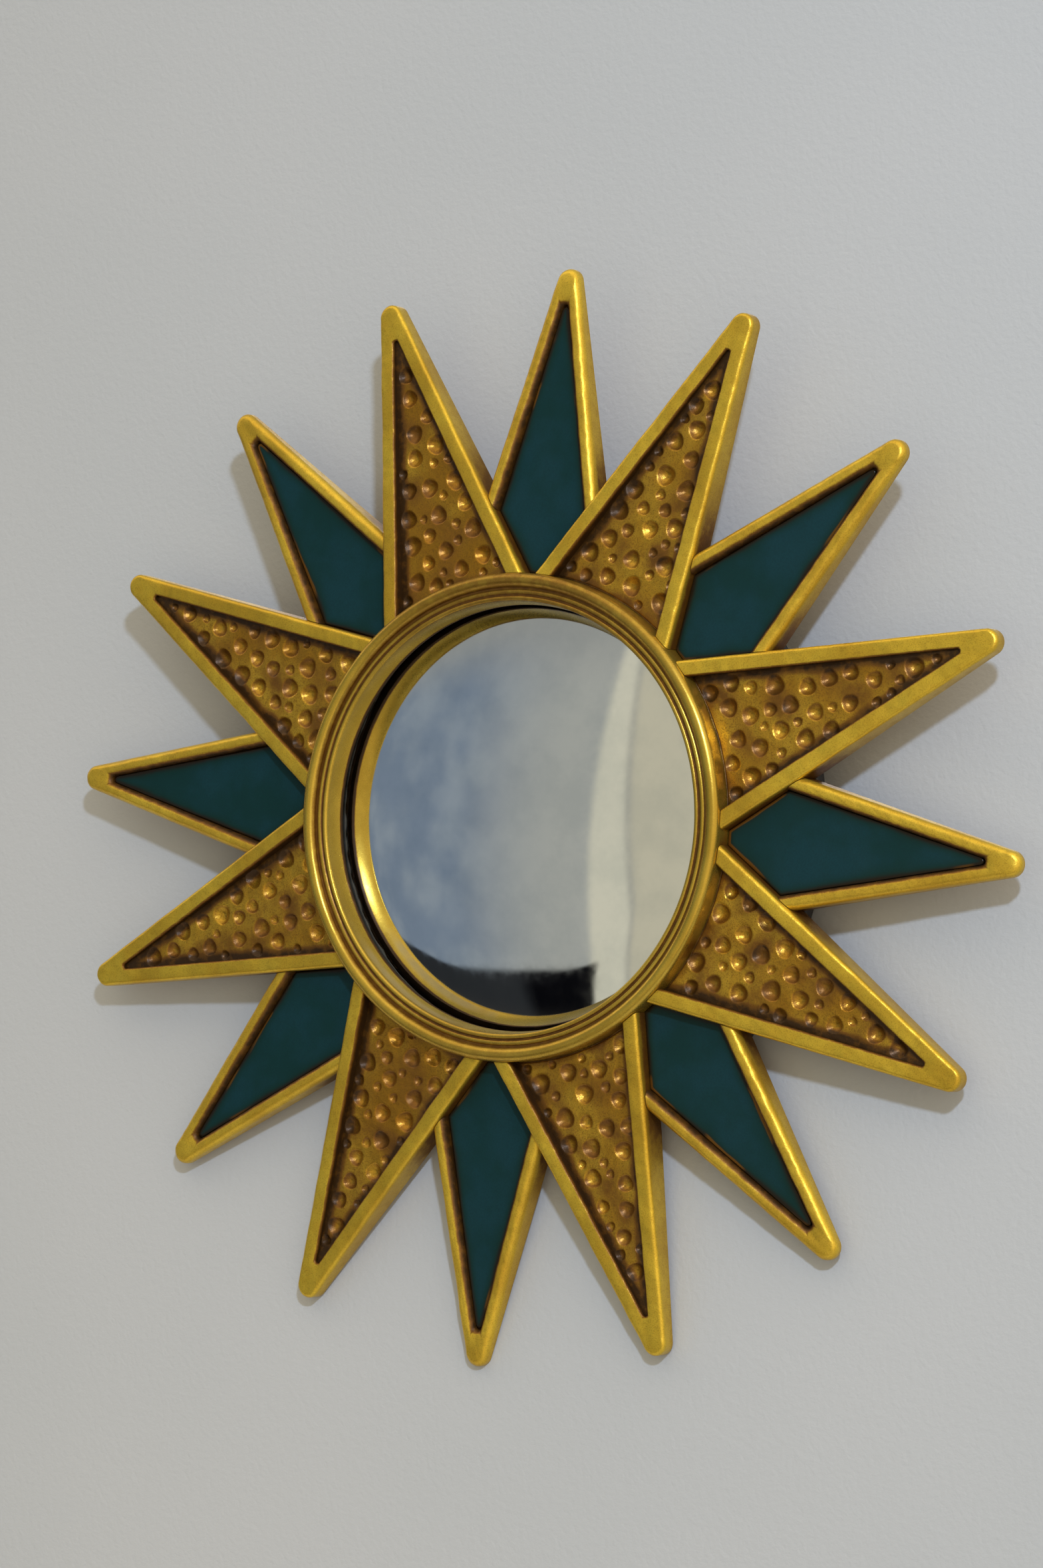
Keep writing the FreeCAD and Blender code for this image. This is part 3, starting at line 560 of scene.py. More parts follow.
def plated_steel(name, tones, rough):
    """Plated steel with fine wear."""
    material, tree, shader = new_material(name)
    wear = remap(tree, noise(tree, 2.4, 4, 0.65), 0.4, 0.72)
    scratch = noise(tree, 0.5, 2, 0.6, (1, 1, 0.1))
    finish_shader(tree, shader, Base_Color=blend(tree, wear, *tones), Metallic=1.0,
                  Roughness=remap(tree, scratch, 0.3, 0.7, rough - 0.07, rough + 0.10),
                  Normal=bump(tree, scratch, 0.02, 0.6))
    return material


# Rays
def rim_path(kind, start, inner_start, side_steps, tip_steps):
    """Outer and inner points of a rim from its right end round the tip to its left end."""
    angle = kind["angle"]
    outer_centre = TIP_REACH - kind["tip"]
    inner_centre = apex(kind, kind["rim"]) - kind["corner"] / math.sin(angle)
    turn = np.linspace(angle, math.pi - angle, tip_steps + 1)
    normal = np.stack([np.cos(turn), np.sin(turn)], axis=1)
    outer_tip = normal * kind["tip"] + [0, outer_centre]
    inner_tip = normal * kind["corner"] + [0, inner_centre]
    share = np.linspace(0, 1, side_steps + 1)[:-1, None]
    outer_side = np.array(start) * (1 - share) + outer_tip[0] * share
    inner_side = np.array(inner_start) * (1 - share) + inner_tip[0] * share
    flip = np.array([-1, 1])
    outer = np.concatenate([outer_side, outer_tip, outer_side[::-1] * flip])
    inner = np.concatenate([inner_side, inner_tip, inner_side[::-1] * flip])
    width = np.full(len(outer), float(kind["rim"]))
    width[side_steps:side_steps + tip_steps + 1] = ((outer_tip - inner_tip) * normal).sum(axis=1)
    return outer, inner, width


def rim_profile(kind, width):
    """Distances from the outer edge, heights under the front and the share down the walls."""
    outer_round = kind["outer_round"]
    inner_round = kind["inner_round"]
    turn = np.linspace(0, math.pi / 2, RIM_ROUND_ROWS + 1)
    outward = outer_round * (1 - np.cos(turn))
    under = outer_round * (1 - np.sin(turn))
    inward = inner_round * (1 - np.cos(turn[::-1]))
    inner_under = inner_round * (1 - np.sin(turn[::-1]))
    top = np.linspace(0, 1, RIM_TOP_ROWS + 2)[1:-1]
    flat_rows = 2 * (RIM_ROUND_ROWS + 1) + RIM_TOP_ROWS
    distance = np.concatenate([np.zeros(RIM_WALL_ROWS), outward,
                               outer_round + (width - outer_round - inner_round) * top,
                               width - inward, np.full(RIM_WALL_ROWS, width)])
    drop = np.concatenate([np.full(RIM_WALL_ROWS, outer_round), under, np.zeros(RIM_TOP_ROWS),
                           inner_under, np.full(RIM_WALL_ROWS, inner_round)])
    down = np.concatenate([np.linspace(1, 0, RIM_WALL_ROWS + 1)[:-1], np.zeros(flat_rows),
                           -np.linspace(0, 1, RIM_WALL_ROWS + 1)[1:]])
    return distance, drop, down


def rim_stain_and_shade(kind, spot, wide, distance, drop, down, depth):
    """Staining and painted shade of a rim: its outer wall, darker towards the ring and the disc, its outer
    edge, its lip, and its inner wall, darkened as antique wash and as painted shade.
    """
    reach = np.hypot(spot[:, 0], spot[:, 1])
    outer = 0.08 + 0.5 * smooth_step(215, 170, reach) + 0.15 * down
    # The inner wall darkens as antique wash and as painted shade of the wall's own shadow.
    inner = smooth_step(0.06, 0.48, depth) * kind["wall_stain_and_shade"]
    lip = smooth_step(wide - kind["inner_round"] - 0.2, wide - 0.3, distance) * kind["lip_stain"]
    stain_and_shade = np.where(down > 0, outer, np.where(down < 0, np.maximum(inner, lip), lip))
    edge = smooth_step(0.5, 1.0, drop / kind["outer_round"]) * (distance < wide / 2) * 0.10
    return np.maximum(stain_and_shade, edge)


def add_rim(piece, kind, outer, inner, width, turn, seed, ripple):
    """The raised rim: outer wall, rounded and crowned top, inner wall down past the floor."""
    rows = []
    stains_and_shade = []
    for spot_out, spot_in, wide in zip(outer, inner, width):
        distance, drop, down = rim_profile(kind, wide)
        share = distance / wide
        spot = spot_out[None] * (1 - share[:, None]) + spot_in[None] * share[:, None]
        front = level(kind, "front", spot[:, 1])
        floor = level(kind, "floor", spot[:, 1])
        crown = kind["crown"] * (2 * share - 1) ** 2
        height = front - drop - crown
        height = np.where(down > 0, (front - drop - crown) * (1 - down), height)
        height = np.where(down < 0, height + (floor - RIM_SINK - height) * -down, height)
        rows.append(np.column_stack([spot, height]))
        depth = np.clip((front - height) / (front - floor), 0, 1)
        stains_and_shade.append(rim_stain_and_shade(kind, spot, wide, distance, drop, down, depth))
    grid = np.array(rows)
    stains_and_shade = np.array(stains_and_shade)
    points = placed(grid[..., 0], grid[..., 1], grid[..., 2], turn)
    swell = 0.13 * waves(points, 19, seed) + 0.05 * waves(points, 6, seed + 1)
    if ripple:
        swell = swell + ripple * waves(points, 3.4, seed + 2, 6)
    raised = np.clip(grid[..., 2] / 3, 0, 1)
    points[..., 1] -= swell * raised - SURFACE_LIFT
    top_column = RIM_WALL_ROWS + RIM_ROUND_ROWS + 1 + RIM_TOP_ROWS // 2
    piece.sheet(points, FRONT, probe=(len(outer) // 4, top_column), patina=stains_and_shade)
    return grid


def floor_grid(root_left, root_radius, tip_centre, tip_radius, angle, rows, columns):
    """Across and along of a recess floor, fanned from the root's arc to the tip."""
    side = np.linspace(-1, 1, columns)
    half = math.asin(root_left / root_radius)
    root = np.stack([root_radius * np.sin(side * half), root_radius * np.cos(side * half)], axis=1)
    swing = math.pi / 2 - side * (math.pi / 2 - angle)
    tip = np.stack([tip_radius * np.cos(swing), tip_centre + tip_radius * np.sin(swing)], axis=1)
    close = np.linspace(0, 0.045, 30, endpoint=False)
    share = np.concatenate([close, np.linspace(0.045, 1, rows)])[:, None, None]
    return root[None] * (1 - share) + tip[None] * share


def throw_dimples(seed, inside, room):
    """Seeded centres and radii of punched dimples, large ones first."""
    chance = np.random.RandomState(seed)
    low, high = room
    spots = []
    for low_radius, high_radius, spare in DIMPLE_SIZES:
        for _ in range(DIMPLE_TRIES):
            spot = chance.uniform(low, high)
            radius = chance.uniform(low_radius, high_radius)
            if inside(spot) < 0.80 * radius + 0.5:
                continue
            near = [math.hypot(spot[0] - s[0], spot[1] - s[1]) - radius - s[2] for s in spots]
            if all(gap > spare for gap in near):
                steep = chance.uniform(*DIMPLE_STEEPNESS)
                lean = chance.uniform(-DIMPLE_TILT, DIMPLE_TILT, 2)
                spots.append((spot[0], spot[1], radius, steep, lean))
    return spots


def punched(across, along, spots):
    """Depth of the dimples and a 0 to 1 value that is highest on their steep sides, used as antique wash and
    painted shade in the bowls.
    """
    sunk = np.zeros_like(across)
    inside = np.zeros_like(across)
    for x, z, radius, steep, lean in spots:
        dx = across - x
        dz = along - z
        away = np.sqrt(dx ** 2 + dz ** 2) / radius * (1 + 0.05 * np.sin(3 * np.arctan2(dz, dx) + x))
        bowl = np.clip(1 - away ** 2, 0, None) ** 1.25
        tilt = 1 + lean[0] * dx / radius + lean[1] * dz / radius
        sunk = np.minimum(sunk, -steep * radius * bowl * tilt)
        sunk = sunk + 0.06 * np.exp(-((away - 1.10) / 0.16) ** 2)
        # Darker on the steep sides: antique wash in the bowls and painted shade for their shaded sides.
        inside = np.maximum(inside, np.clip(bowl * 4, 0, 1) * (0.10 + 0.90 * np.clip(away, 0, 1) ** 2))
    return sunk, inside


def add_base(piece, outline, turn):
    """Flat rear face of a ray."""
    outline = np.array(outline)
    piece.patch(placed(outline[:, 0], outline[:, 1], 0.0, turn), BACK, patina=0.6)


def ray_direction(across, along, turn):
    """Direction in the mirror's frame, from a ray's own across and along."""
    return placed(across, along, 0.0, turn) - placed(0.0, 0.0, 0.0, turn)


def add_root_end(piece, kind, corner, turn):
    """Wall of a ray's root, close round the ring."""
    half = math.asin(corner[0] / ROOT)
    swing = np.linspace(-half, half, 25)
    across, along = ROOT * np.sin(swing), ROOT * np.cos(swing)
    top = level(kind, "floor", along)
    rows = np.stack([placed(across, along, 0.0, turn), placed(across, along, top, turn)])
    piece.sheet(rows, ray_direction(0.0, -1.0, turn), patina=0.7)


def add_end_caps(piece, grid, turn):
    """Closes both ends of a rim."""
    for section in (grid[0], grid[-1]):
        points = placed(section[:, 0], section[:, 1], section[:, 2], turn)
        piece.patch(points, ray_direction(0.0, -1.0, turn), patina=0.5)


def hammered_floor(piece, number, turn):
    """Punched floor between the rims of one hammered ray."""
    kind = HAMMERED
    floor_root = RING_OUTER + 0.12
    root_side = side_meets_root(kind, kind["rim"], floor_root)
    inner_centre = apex(kind, kind["rim"]) - kind["corner"] / math.sin(kind["angle"])
    flat = floor_grid(root_side[0], floor_root, inner_centre, kind["corner"], kind["angle"], 236, 116)
    across, along = flat[..., 0], flat[..., 1]
    top = apex(kind, kind["rim"])

    def inset(x, z):
        return (top - z) * math.sin(kind["angle"]) - abs(x) * math.cos(kind["angle"])

    def inside(spot):
        return min(inset(*spot), math.hypot(*spot) - RING_OUTER)

    spots = throw_dimples(300 + number, inside, ((-root_side[0], 124), (root_side[0], 276)))
    sunk, pit_patina_and_shade = punched(across, along, spots)
    lap = np.stack([across, along], axis=-1)
    height = level(kind, "floor", along) + sunk + 0.07 * waves(lap, 14, 500 + number) \
        + 0.02 * waves(lap, 4, 520 + number)
    edge = np.minimum(inset(across, along), 12)
    near_ring = np.hypot(across, along) - RING_OUTER
    seam = np.exp(-((near_ring - SEAM) / SEAM_WIDTH) ** 2)
    height = height - SEAM_DEPTH * seam
    # Painted shade with antique wash along the rims, standing for the rims' cast shadow, and darker near the
    # ring.
    stain_and_shade = np.maximum(1.0 * smooth_step(7.0, 0.6, edge), 0.34 * smooth_step(6, 0.2, near_ring))
    # The bowls add antique wash and painted shade.
    stain_and_shade = stain_and_shade + 0.13 + 0.14 * waves(lap, 26, 540 + number) + 0.58 * pit_patina_and_shade
    stain_and_shade = np.clip(np.maximum(stain_and_shade, seam), 0, 1)
    piece.sheet(placed(across, along, height, turn), FRONT, patina=stain_and_shade, aged=1.0)


def hammered_ray(number, material):
    """One ray with a punched floor."""
    kind = HAMMERED
    turn = (2 * number - 1) * PITCH
    piece = Piece("hammered_gilt_ray_%d" % number)
    start = side_meets_root(kind, 0, ROOT)
    inner_start = side_meets_root(kind, kind["rim"], ROOT)
    outer, inner, width = rim_path(kind, start, inner_start, 120, 28)
    grid = add_rim(piece, kind, outer, inner, width, turn, 100 + number, 0.0)
    hammered_floor(piece, number, turn)
    outline = [tuple(p) for p in outer]
    half = math.asin(start[0] / ROOT)
    outline += [(ROOT * math.sin(a), ROOT * math.cos(a)) for a in np.linspace(-half, half, 13)[1:-1]]
    add_base(piece, outline, turn)
    add_root_end(piece, kind, start, turn)
    add_end_caps(piece, grid, turn)
    return piece.build(material, "gilt_hammered", "hammered_ray_%d" % number)


def teal_frame(number, material):
    """One plain ray with rounded rims round its pane."""
    kind = TEAL
    turn = 2 * (number - 1) * PITCH
    piece = Piece("rounded_gilt_ray_%d" % number)
    start = wall_meets_side(0, FIT_GAP)
    inner_start = wall_meets_side(kind["rim"], FIT_GAP)
    outer, inner, width = rim_path(kind, start, inner_start, 96, 28)
    grid = add_rim(piece, kind, outer, inner, width, turn, 700 + number, 0.035)
    root = wall_point(ROOT, FIT_GAP)
    half = math.asin(root[0] / ROOT)
    arc = [(ROOT * math.sin(a), ROOT * math.cos(a)) for a in np.linspace(-half, half, 7)]
    outline = [tuple(p) for p in outer] + arc
    add_base(piece, outline, turn)
    floor_line = np.array([tuple(p) for p in inner] + arc)
    piece.patch(placed(floor_line[:, 0], floor_line[:, 1], level(kind, "floor", floor_line[:, 1]), turn),
                FRONT, patina=1.0)
    for side in (1, -1):
        line = np.array([inner_start, root]) * [side, 1]
        share = np.linspace(0, 1, 9)[:, None]
        spots = line[0] * (1 - share) + line[1] * share
        rows = np.stack([placed(spots[:, 0], spots[:, 1], 0.0, turn),
                         placed(spots[:, 0], spots[:, 1], level(kind, "floor", spots[:, 1]), turn)])
        piece.sheet(rows, ray_direction(float(side), 0.0, turn), patina=0.9)
    add_root_end(piece, kind, root, turn)
    add_end_caps(piece, grid, turn)
    return piece.build(material, "gilt_teal_frame", "teal_ray_%d" % number)


def pane_outline(inset):
    """Closed outline of a pane, evenly stepped, moved in from its edge."""
    angle = TEAL["angle"]
    away = TEAL["rim"] + PANE_GAP + inset
    corner = PANE_CORNER + 0.2
    centre = apex(TEAL, away) - corner / math.sin(angle)
    swing = np.linspace(angle, math.pi / 2, 5)
    right = [(corner * math.cos(a), centre + corner * math.sin(a)) for a in swing][::-1]
    right.append(wall_meets_side(away, PANE_GAP + inset))
    right.append(wall_point(RING_OUTER + PANE_GAP + inset, PANE_GAP + inset))
    half = math.asin(right[-1][0] / (RING_OUTER + PANE_GAP + inset))
    radius = RING_OUTER + PANE_GAP + inset
    right += [(radius * math.sin(a), radius * math.cos(a)) for a in np.linspace(half, 0, 4)[1:]]
    line = right + [(-x, z) for x, z in right[::-1][1:-1]]
    return np.array(line)


def resample(line, count):
    """Evenly spaced points round a closed line."""
    closed = np.vstack([line, line[:1]])
    length = np.concatenate([[0], np.cumsum(np.linalg.norm(np.diff(closed, axis=0), axis=1))])
    spots = np.linspace(0, length[-1], count, endpoint=False)
    return np.stack([np.interp(spots, length, closed[:, i]) for i in range(2)], axis=1)


def distance_to_line(points, line):
    """Distance of each point to a closed line."""
    best = np.full(points.shape[:-1], 1e9)
    for one, two in zip(line, np.roll(line, -1, axis=0)):
        run = two - one
        share = np.clip(((points - one) @ run) / (run @ run), 0, 1)
        best = np.minimum(best, np.linalg.norm(points - (one + share[..., None] * run), axis=-1))
    return best


def teal_pane(number, material):
    """One glass pane: flat front, rounded polished edge, dark towards its rim."""
    turn = 2 * (number - 1) * PITCH
    piece = Piece("teal_glass_pane_%d" % number)
    line = resample(pane_outline(0), 320)
    middle = np.array([0.0, 172.0])
    edge = distance_to_line(line, line)
    rows = []
    levels = []
    for pull, sink in ((0, 2.35), (0, 0.6), (0.12, 0.28), (0.35, 0.08), (0.7, 0.0)):
        toward = middle - line
        toward /= np.linalg.norm(toward, axis=1)[:, None]
        rows.append(line + toward * pull)
        levels.append(np.full(len(line), sink))
    for share in np.linspace(0.02, 1, 34) ** 1.2:
        rows.append((line + toward * 0.9) * (1 - share) + middle * share)
        levels.append(np.zeros(len(line)))
    flat = np.array(rows)
    sink = np.array(levels)
    height = level(TEAL, "floor", flat[..., 1]) + PANE_THICKNESS - sink
    away = distance_to_line(flat, resample(pane_outline(0), 160))
    height = height + 0.05 * waves(flat, 30, 900 + number) * (sink == 0)
    # Darker towards the rim: airbrushed paint and painted shade from the rims.
    rim = np.exp(-away / 3.2)
    points = placed(flat[..., 0], flat[..., 1], height, turn)
    points = np.concatenate([points, points[:, :1]], axis=1)
    rim = np.concatenate([rim, rim[:, :1]], axis=1)
    piece.sheet(points, FRONT, probe=(20, 100), edge=rim)
    under = placed(line[:, 0], line[:, 1], level(TEAL, "floor", line[:, 1]) + 0.05, turn)
    piece.patch(under, BACK, edge=1.0)
    return piece.build(material, "teal_glass", "teal_pane_%d" % number)


# Turned pieces
def supported(line, reach=0.12, bend=0.5):
    """Section with a point close on both sides of each sharp corner."""
    out = [line[0]]
    for before, spot, after in zip(line, line[1:], line[2:]):
        arriving = spot - before
        leaving = after - spot
        arriving_length = np.linalg.norm(arriving)
        leaving_length = np.linalg.norm(leaving)
        if arriving @ leaving < math.cos(bend) * arriving_length * leaving_length:
            out.append(spot - arriving / arriving_length * min(reach, arriving_length / 3))
            out.append(spot)
            out.append(spot + leaving / leaving_length * min(reach, leaving_length / 3))
        else:
            out.append(spot)
    return np.array(out + [line[-1]])


def ring_section():
    """Section of the ring from the disc up, over its beads and down to the rebate."""
    bead_end = RING_OUTER - BEAD_WIDTH
    bead_foot = BEAD_HEIGHT + math.sqrt(BEAD_RADIUS ** 2 - (BEAD_WIDTH - BEAD_RADIUS) ** 2)
    reed_start = bead_end - OUTER_GROOVE_WIDTH
    reed_end = reed_start - REED_WIDTH
    inner_start = reed_end - INNER_GROOVE_WIDTH
    inner_end = RING_LIP + INNER_WALL_STEP
    line = [(RING_OUTER, h) for h in np.linspace(0, BEAD_HEIGHT, 10)]
    line += bulge((RING_OUTER, BEAD_HEIGHT), (bead_end, bead_foot), BEAD_RADIUS, 1, 22)
    line += [(bead_end, OUTER_GROOVE_HEIGHT), (reed_start, OUTER_GROOVE_HEIGHT)]
    line += bulge((reed_start, OUTER_GROOVE_HEIGHT), (reed_end, INNER_GROOVE_HEIGHT), REED_ROUND, 1, 10)
    line.append((inner_start, INNER_GROOVE_HEIGHT))
    line += bulge((inner_start, INNER_GROOVE_HEIGHT), (inner_end, INNER_BEAD_FOOT), INNER_BEAD_ROUND, 1, 12)
    line += bulge((inner_end, INNER_BEAD_FOOT), (RING_LIP, REBATE_DEPTH + LIP_EDGE), INNER_WALL_COVE, -1, 24)
    line += [(RING_LIP, REBATE_DEPTH), (RING_REBATE, REBATE_DEPTH), (RING_REBATE, 0)]
    return supported(np.array(line, dtype=float))


def ring_stain_and_shade(section, angle):
    """Staining and painted shade of the ring: antique wash on its flank, both grooves and the bead's inner
    side; painted shade low on its inner wall, under its lip, and on its top towards the ring's top and
    bottom.
    """
    radius, height = section.T[:, None, :]
    top = smooth_step(19.5, 20.5, height)
    groove = RING_OUTER - BEAD_WIDTH - OUTER_GROOVE_WIDTH / 2
    inner_groove = groove - (OUTER_GROOVE_WIDTH + INNER_GROOVE_WIDTH) / 2 - REED_WIDTH
    stain_and_shade = 0.66 * top * np.exp(-((radius - groove) / 0.85) ** 4)
    stain_and_shade = np.maximum(stain_and_shade, 0.72 * top * np.exp(-((radius - inner_groove) / 0.90) ** 4))
    stain_and_shade = np.maximum(stain_and_shade, 0.34 * top * smooth_step(126.6, 125.2, radius) * (radius > groove))
    around = np.stack([np.sin(angle), np.cos(angle)], axis=-1) * RING_OUTER
    flank = (radius > RING_OUTER - 0.05) * smooth_step(BEAD_HEIGHT, BEAD_HEIGHT - 3, height)
    stain_and_shade = np.maximum(stain_and_shade, flank * (0.22 + 0.10 * waves(around, 24, 55)))
    # Painted shade low on the inner wall, higher towards the left, standing for the dark gap under the lip.
    wall = (radius < RING_LIP + INNER_WALL_STEP + 0.3) * (1 - top)
    foot = 8.8 + 1.0 * smooth_step(0.0, 0.8, np.cos(angle - DARK_FOOT_TURN))
    stain_and_shade = np.maximum(stain_and_shade, 1.2 * wall * smooth_step(foot + 1.0, foot - 0.8, height))
    # Painted shade on the ring's upper faces, darkest at the top and bottom of the ring and lighter at its
    # sides.
    stain_and_shade = np.maximum(stain_and_shade, top * (0.13 + 0.15 * np.cos(2 * angle) + 0.07 * np.cos(angle)))
    # Painted shade under the lip.
    under = (height < REBATE_DEPTH + 0.2) & (radius < RING_OUTER - 0.05)
    return np.clip(np.where(under, 1.2, stain_and_shade), 0, 1.2)


def ring_dust(section, angle):
    """Grey dust low on the ring's inner wall, at its lower left."""
    radius, height = section.T[:, None, :]
    around = np.stack([np.sin(angle), np.cos(angle)], axis=-1) * RING_LIP
    arc = smooth_step(0.90, 0.985, np.cos(angle - DUST_TURN) + 0.012 * waves(around, 16, 57))
    wall = radius < RING_LIP + INNER_WALL_STEP + 0.3
    wall = wall * smooth_step(11.5, 15.5, height) * smooth_step(20.5, 18.5, height)
    return 0.4 * arc * wall


def turned(piece, section, steps, seed, wobble, facing=FRONT, probe_at=0, **named):
    """Turned sheet, a little uneven."""
    angle = np.linspace(0, 2 * math.pi, steps, endpoint=False)
    radius = section[:, 0][None] * np.ones((steps, 1))
    height = section[:, 1][None] * np.ones((steps, 1))
    points = lathed(radius, height, angle[:, None])
    drift = wobble * waves(points, 45, seed) + 0.4 * wobble * waves(points, 11, seed + 1)
    points[..., 1] += drift
    layers = {key: np.broadcast_to(value, points.shape[:-1]) for key, value in named.items()}
    piece.sheet(points, facing, probe=(0, probe_at), closed=True, **layers)


def gilt_ring(material):
    """The turned ring with its two beads and the reed between the grooves."""
    piece = Piece("turned_gilt_ring")
    steps = 480
    angle = np.linspace(0, 2 * math.pi, steps, endpoint=False)[:, None]
    section = ring_section()
    crest = int(np.argmax(section[:, 1]))
    turned(piece, section, steps, 41, 0.05, probe_at=crest, patina=ring_stain_and_shade(section, angle),
           dust=ring_dust(section, angle))
    back = np.array([(RING_REBATE, 0.0), (RING_OUTER, 0.0)])
    turned(piece, back, steps, 41, 0.0, facing=BACK, patina=1.0)
    return piece.build(material, "gilt_ring", "ring_moulding")


def glass_front(radius):
    """Height of the glass's front above the disc."""
    back_curve = GLASS_CURVE - GLASS_THICKNESS
    seat = GLASS_RADIUS - GLASS_SEAT
    rise = BOARD + back_curve - math.sqrt(back_curve ** 2 - seat ** 2)
    return rise + GLASS_THICKNESS - GLASS_CURVE + np.sqrt(GLASS_CURVE ** 2 - np.asarray(radius) ** 2)


def dome(material):
    """The domed mirror, finely divided so that its reflections run smoothly."""
    piece = Piece("domed_mirror_glass")
    steps = 384
    angle = np.linspace(0, 2 * math.pi, steps, endpoint=False)[:, None]
    rim = [GLASS_RADIUS - 2, GLASS_RADIUS - 0.7, GLASS_RADIUS - 0.2, GLASS_RADIUS, GLASS_RADIUS]
    radius = np.concatenate([np.linspace(0.01, 96, 40), np.linspace(98, 118, 31), rim])
    height = glass_front(radius)
    height[-1] = BOARD
    height[-2] -= 0.3
    share = np.clip((radius - GLASS_SAG_FROM) / (GLASS_SAG_TO - GLASS_SAG_FROM), 0, 1)
    sag = GLASS_SAG * (1 + np.cos(angle - GLASS_SAG_TURN)) * share ** 2
    sag[:, -1] = 0
    points = lathed(radius[None], height[None] - sag, angle)
    edge = np.broadcast_to(smooth_step(114, 121, radius), points.shape[:-1])
    piece.sheet(points, FRONT, probe=(0, 30), closed=True, edge=edge)
    rear = np.array([(0.01, BOARD), (GLASS_RADIUS - GLASS_SEAT, BOARD), (GLASS_RADIUS, BOARD)])
    turned(piece, rear, steps, 61, 0.0, facing=BACK, probe_at=1, edge=1.0)
    return piece.build(material, "mirror", "mirror_glass")


def putty_bead(material):
    """Hand-pressed putty in the corner between the glass and the ring."""
    piece = Piece("pressed_putty")
    outside = RING_REBATE - FIT_GAP
    inside = outside - 3
    base = float(glass_front(outside)) + FIT_GAP
    toe = float(glass_front(inside)) + FIT_GAP
    line = [(outside, base), (outside, base + 2.6)]
    line += bulge((outside, base + 2.6), (inside, toe + 0.5), 5, -1, 8)
    line += [(inside, toe), (outside, base)]
    section = np.array(line)
    steps = 360
    angle = np.linspace(0, 2 * math.pi, steps, endpoint=False)[:, None]
    lump = waves(np.stack([np.sin(angle) * outside, np.cos(angle) * outside], axis=-1), 14, 77)
    height = section[:, 1][None] + 0.10 * lump * np.array([0] + [1] * (len(section) - 3) + [0, 0])[None]
    points = lathed(section[:, 0][None] * np.ones((steps, 1)), height, angle)
    smear = smooth_step(0.45, 0.9, np.cos(angle - PUTTY_SMEAR_TURN) + 0.1 * lump)
    piece.sheet(points, FRONT, probe=(0, 4), closed=True, smear=np.broadcast_to(smear, points.shape[:-1]))
    return piece.build(material, "putty", "glazing_putty")


# The part's own nodes that stay
def dress(material, *names):
    """Gives carried-over nodes their material."""
    for name in names:
        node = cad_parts[name]
        node.data.materials.clear()
        node.data.materials.append(material)


# Surroundings
def stage_sheet(name, corners, material):
    """Flat sheet of the studio, not part of the object."""
    mesh = bpy.data.meshes.new(name)
    mesh.from_pydata(corners, [], [tuple(range(len(corners)))])
    mesh.materials.append(material)
    sheet = bpy.data.objects.new(name, mesh)
    bpy.context.scene.collection.objects.link(sheet)
    return sheet


def wall_paint():
    """Pale grey painted wall that lets the rear views and their light through."""
    material, tree, shader = new_material("studio_wall")
    stipple = noise(tree, 3.2, 3, 0.55)
    cloud = remap(tree, noise(tree, 300, 2), 0.3, 0.7)
    colour = blend(tree, cloud, *WALL_PAINT)
    finish_shader(tree, shader, Base_Color=colour, Roughness=0.8, Normal=bump(tree, stipple, 0.5, 0.6))
    clear = add_node(tree, "ShaderNodeBsdfTransparent")
    behind = add_node(tree, "ShaderNodeNewGeometry").outputs["Backfacing"]
    shadow = add_node(tree, "ShaderNodeLightPath").outputs["Is Shadow Ray"]
    either = calc(tree, "MAXIMUM", behind, shadow)
    mixed = add_node(tree, "ShaderNodeMixShader", {0: either, 1: shader.outputs[0], 2: clear.outputs[0]})
    output = [n for n in tree.nodes if n.type == "OUTPUT_MATERIAL"][0]
    tree.links.new(mixed.outputs[0], output.inputs["Surface"])
    return material


def floor_paint():
    """Plain pale floor."""
    material, tree, shader = new_material("studio_floor")
    cloud = remap(tree, noise(tree, 400, 2), 0.3, 0.7)
    colour = blend(tree, cloud, *FLOOR_PAINT)
    finish_shader(tree, shader, Base_Color=colour, Roughness=0.7)
    return material


def studio():
    """Wall behind the mirror, leaning away from its top, and the floor below it."""
    low = FLOOR_LEVEL
    ahead = FLOOR_AHEAD
    wide = STUDIO_REACH
    foot = WALL_AWAY + WALL_LEAN * low
    head = WALL_AWAY + WALL_LEAN * wide
    wall = [(-wide, foot, low), (wide, foot, low), (wide, head, wide), (-wide, head, wide)]
    stage_sheet("studio_wall", wall, wall_paint())
    floor = [(-wide, ahead, low), (wide, ahead, low), (wide, wide, low), (-wide, wide, low)]
    stage_sheet("studio_floor", floor, floor_paint())


def band(tree, value, low, high, soft=0.03):
    """1 between two values, eased to 0 outside them."""
    return calc(tree, "MULTIPLY", remap(tree, value, low, calc(tree, "ADD", low, soft)),
                remap(tree, value, high, calc(tree, "ADD", high, soft), 1.0, 0.0))


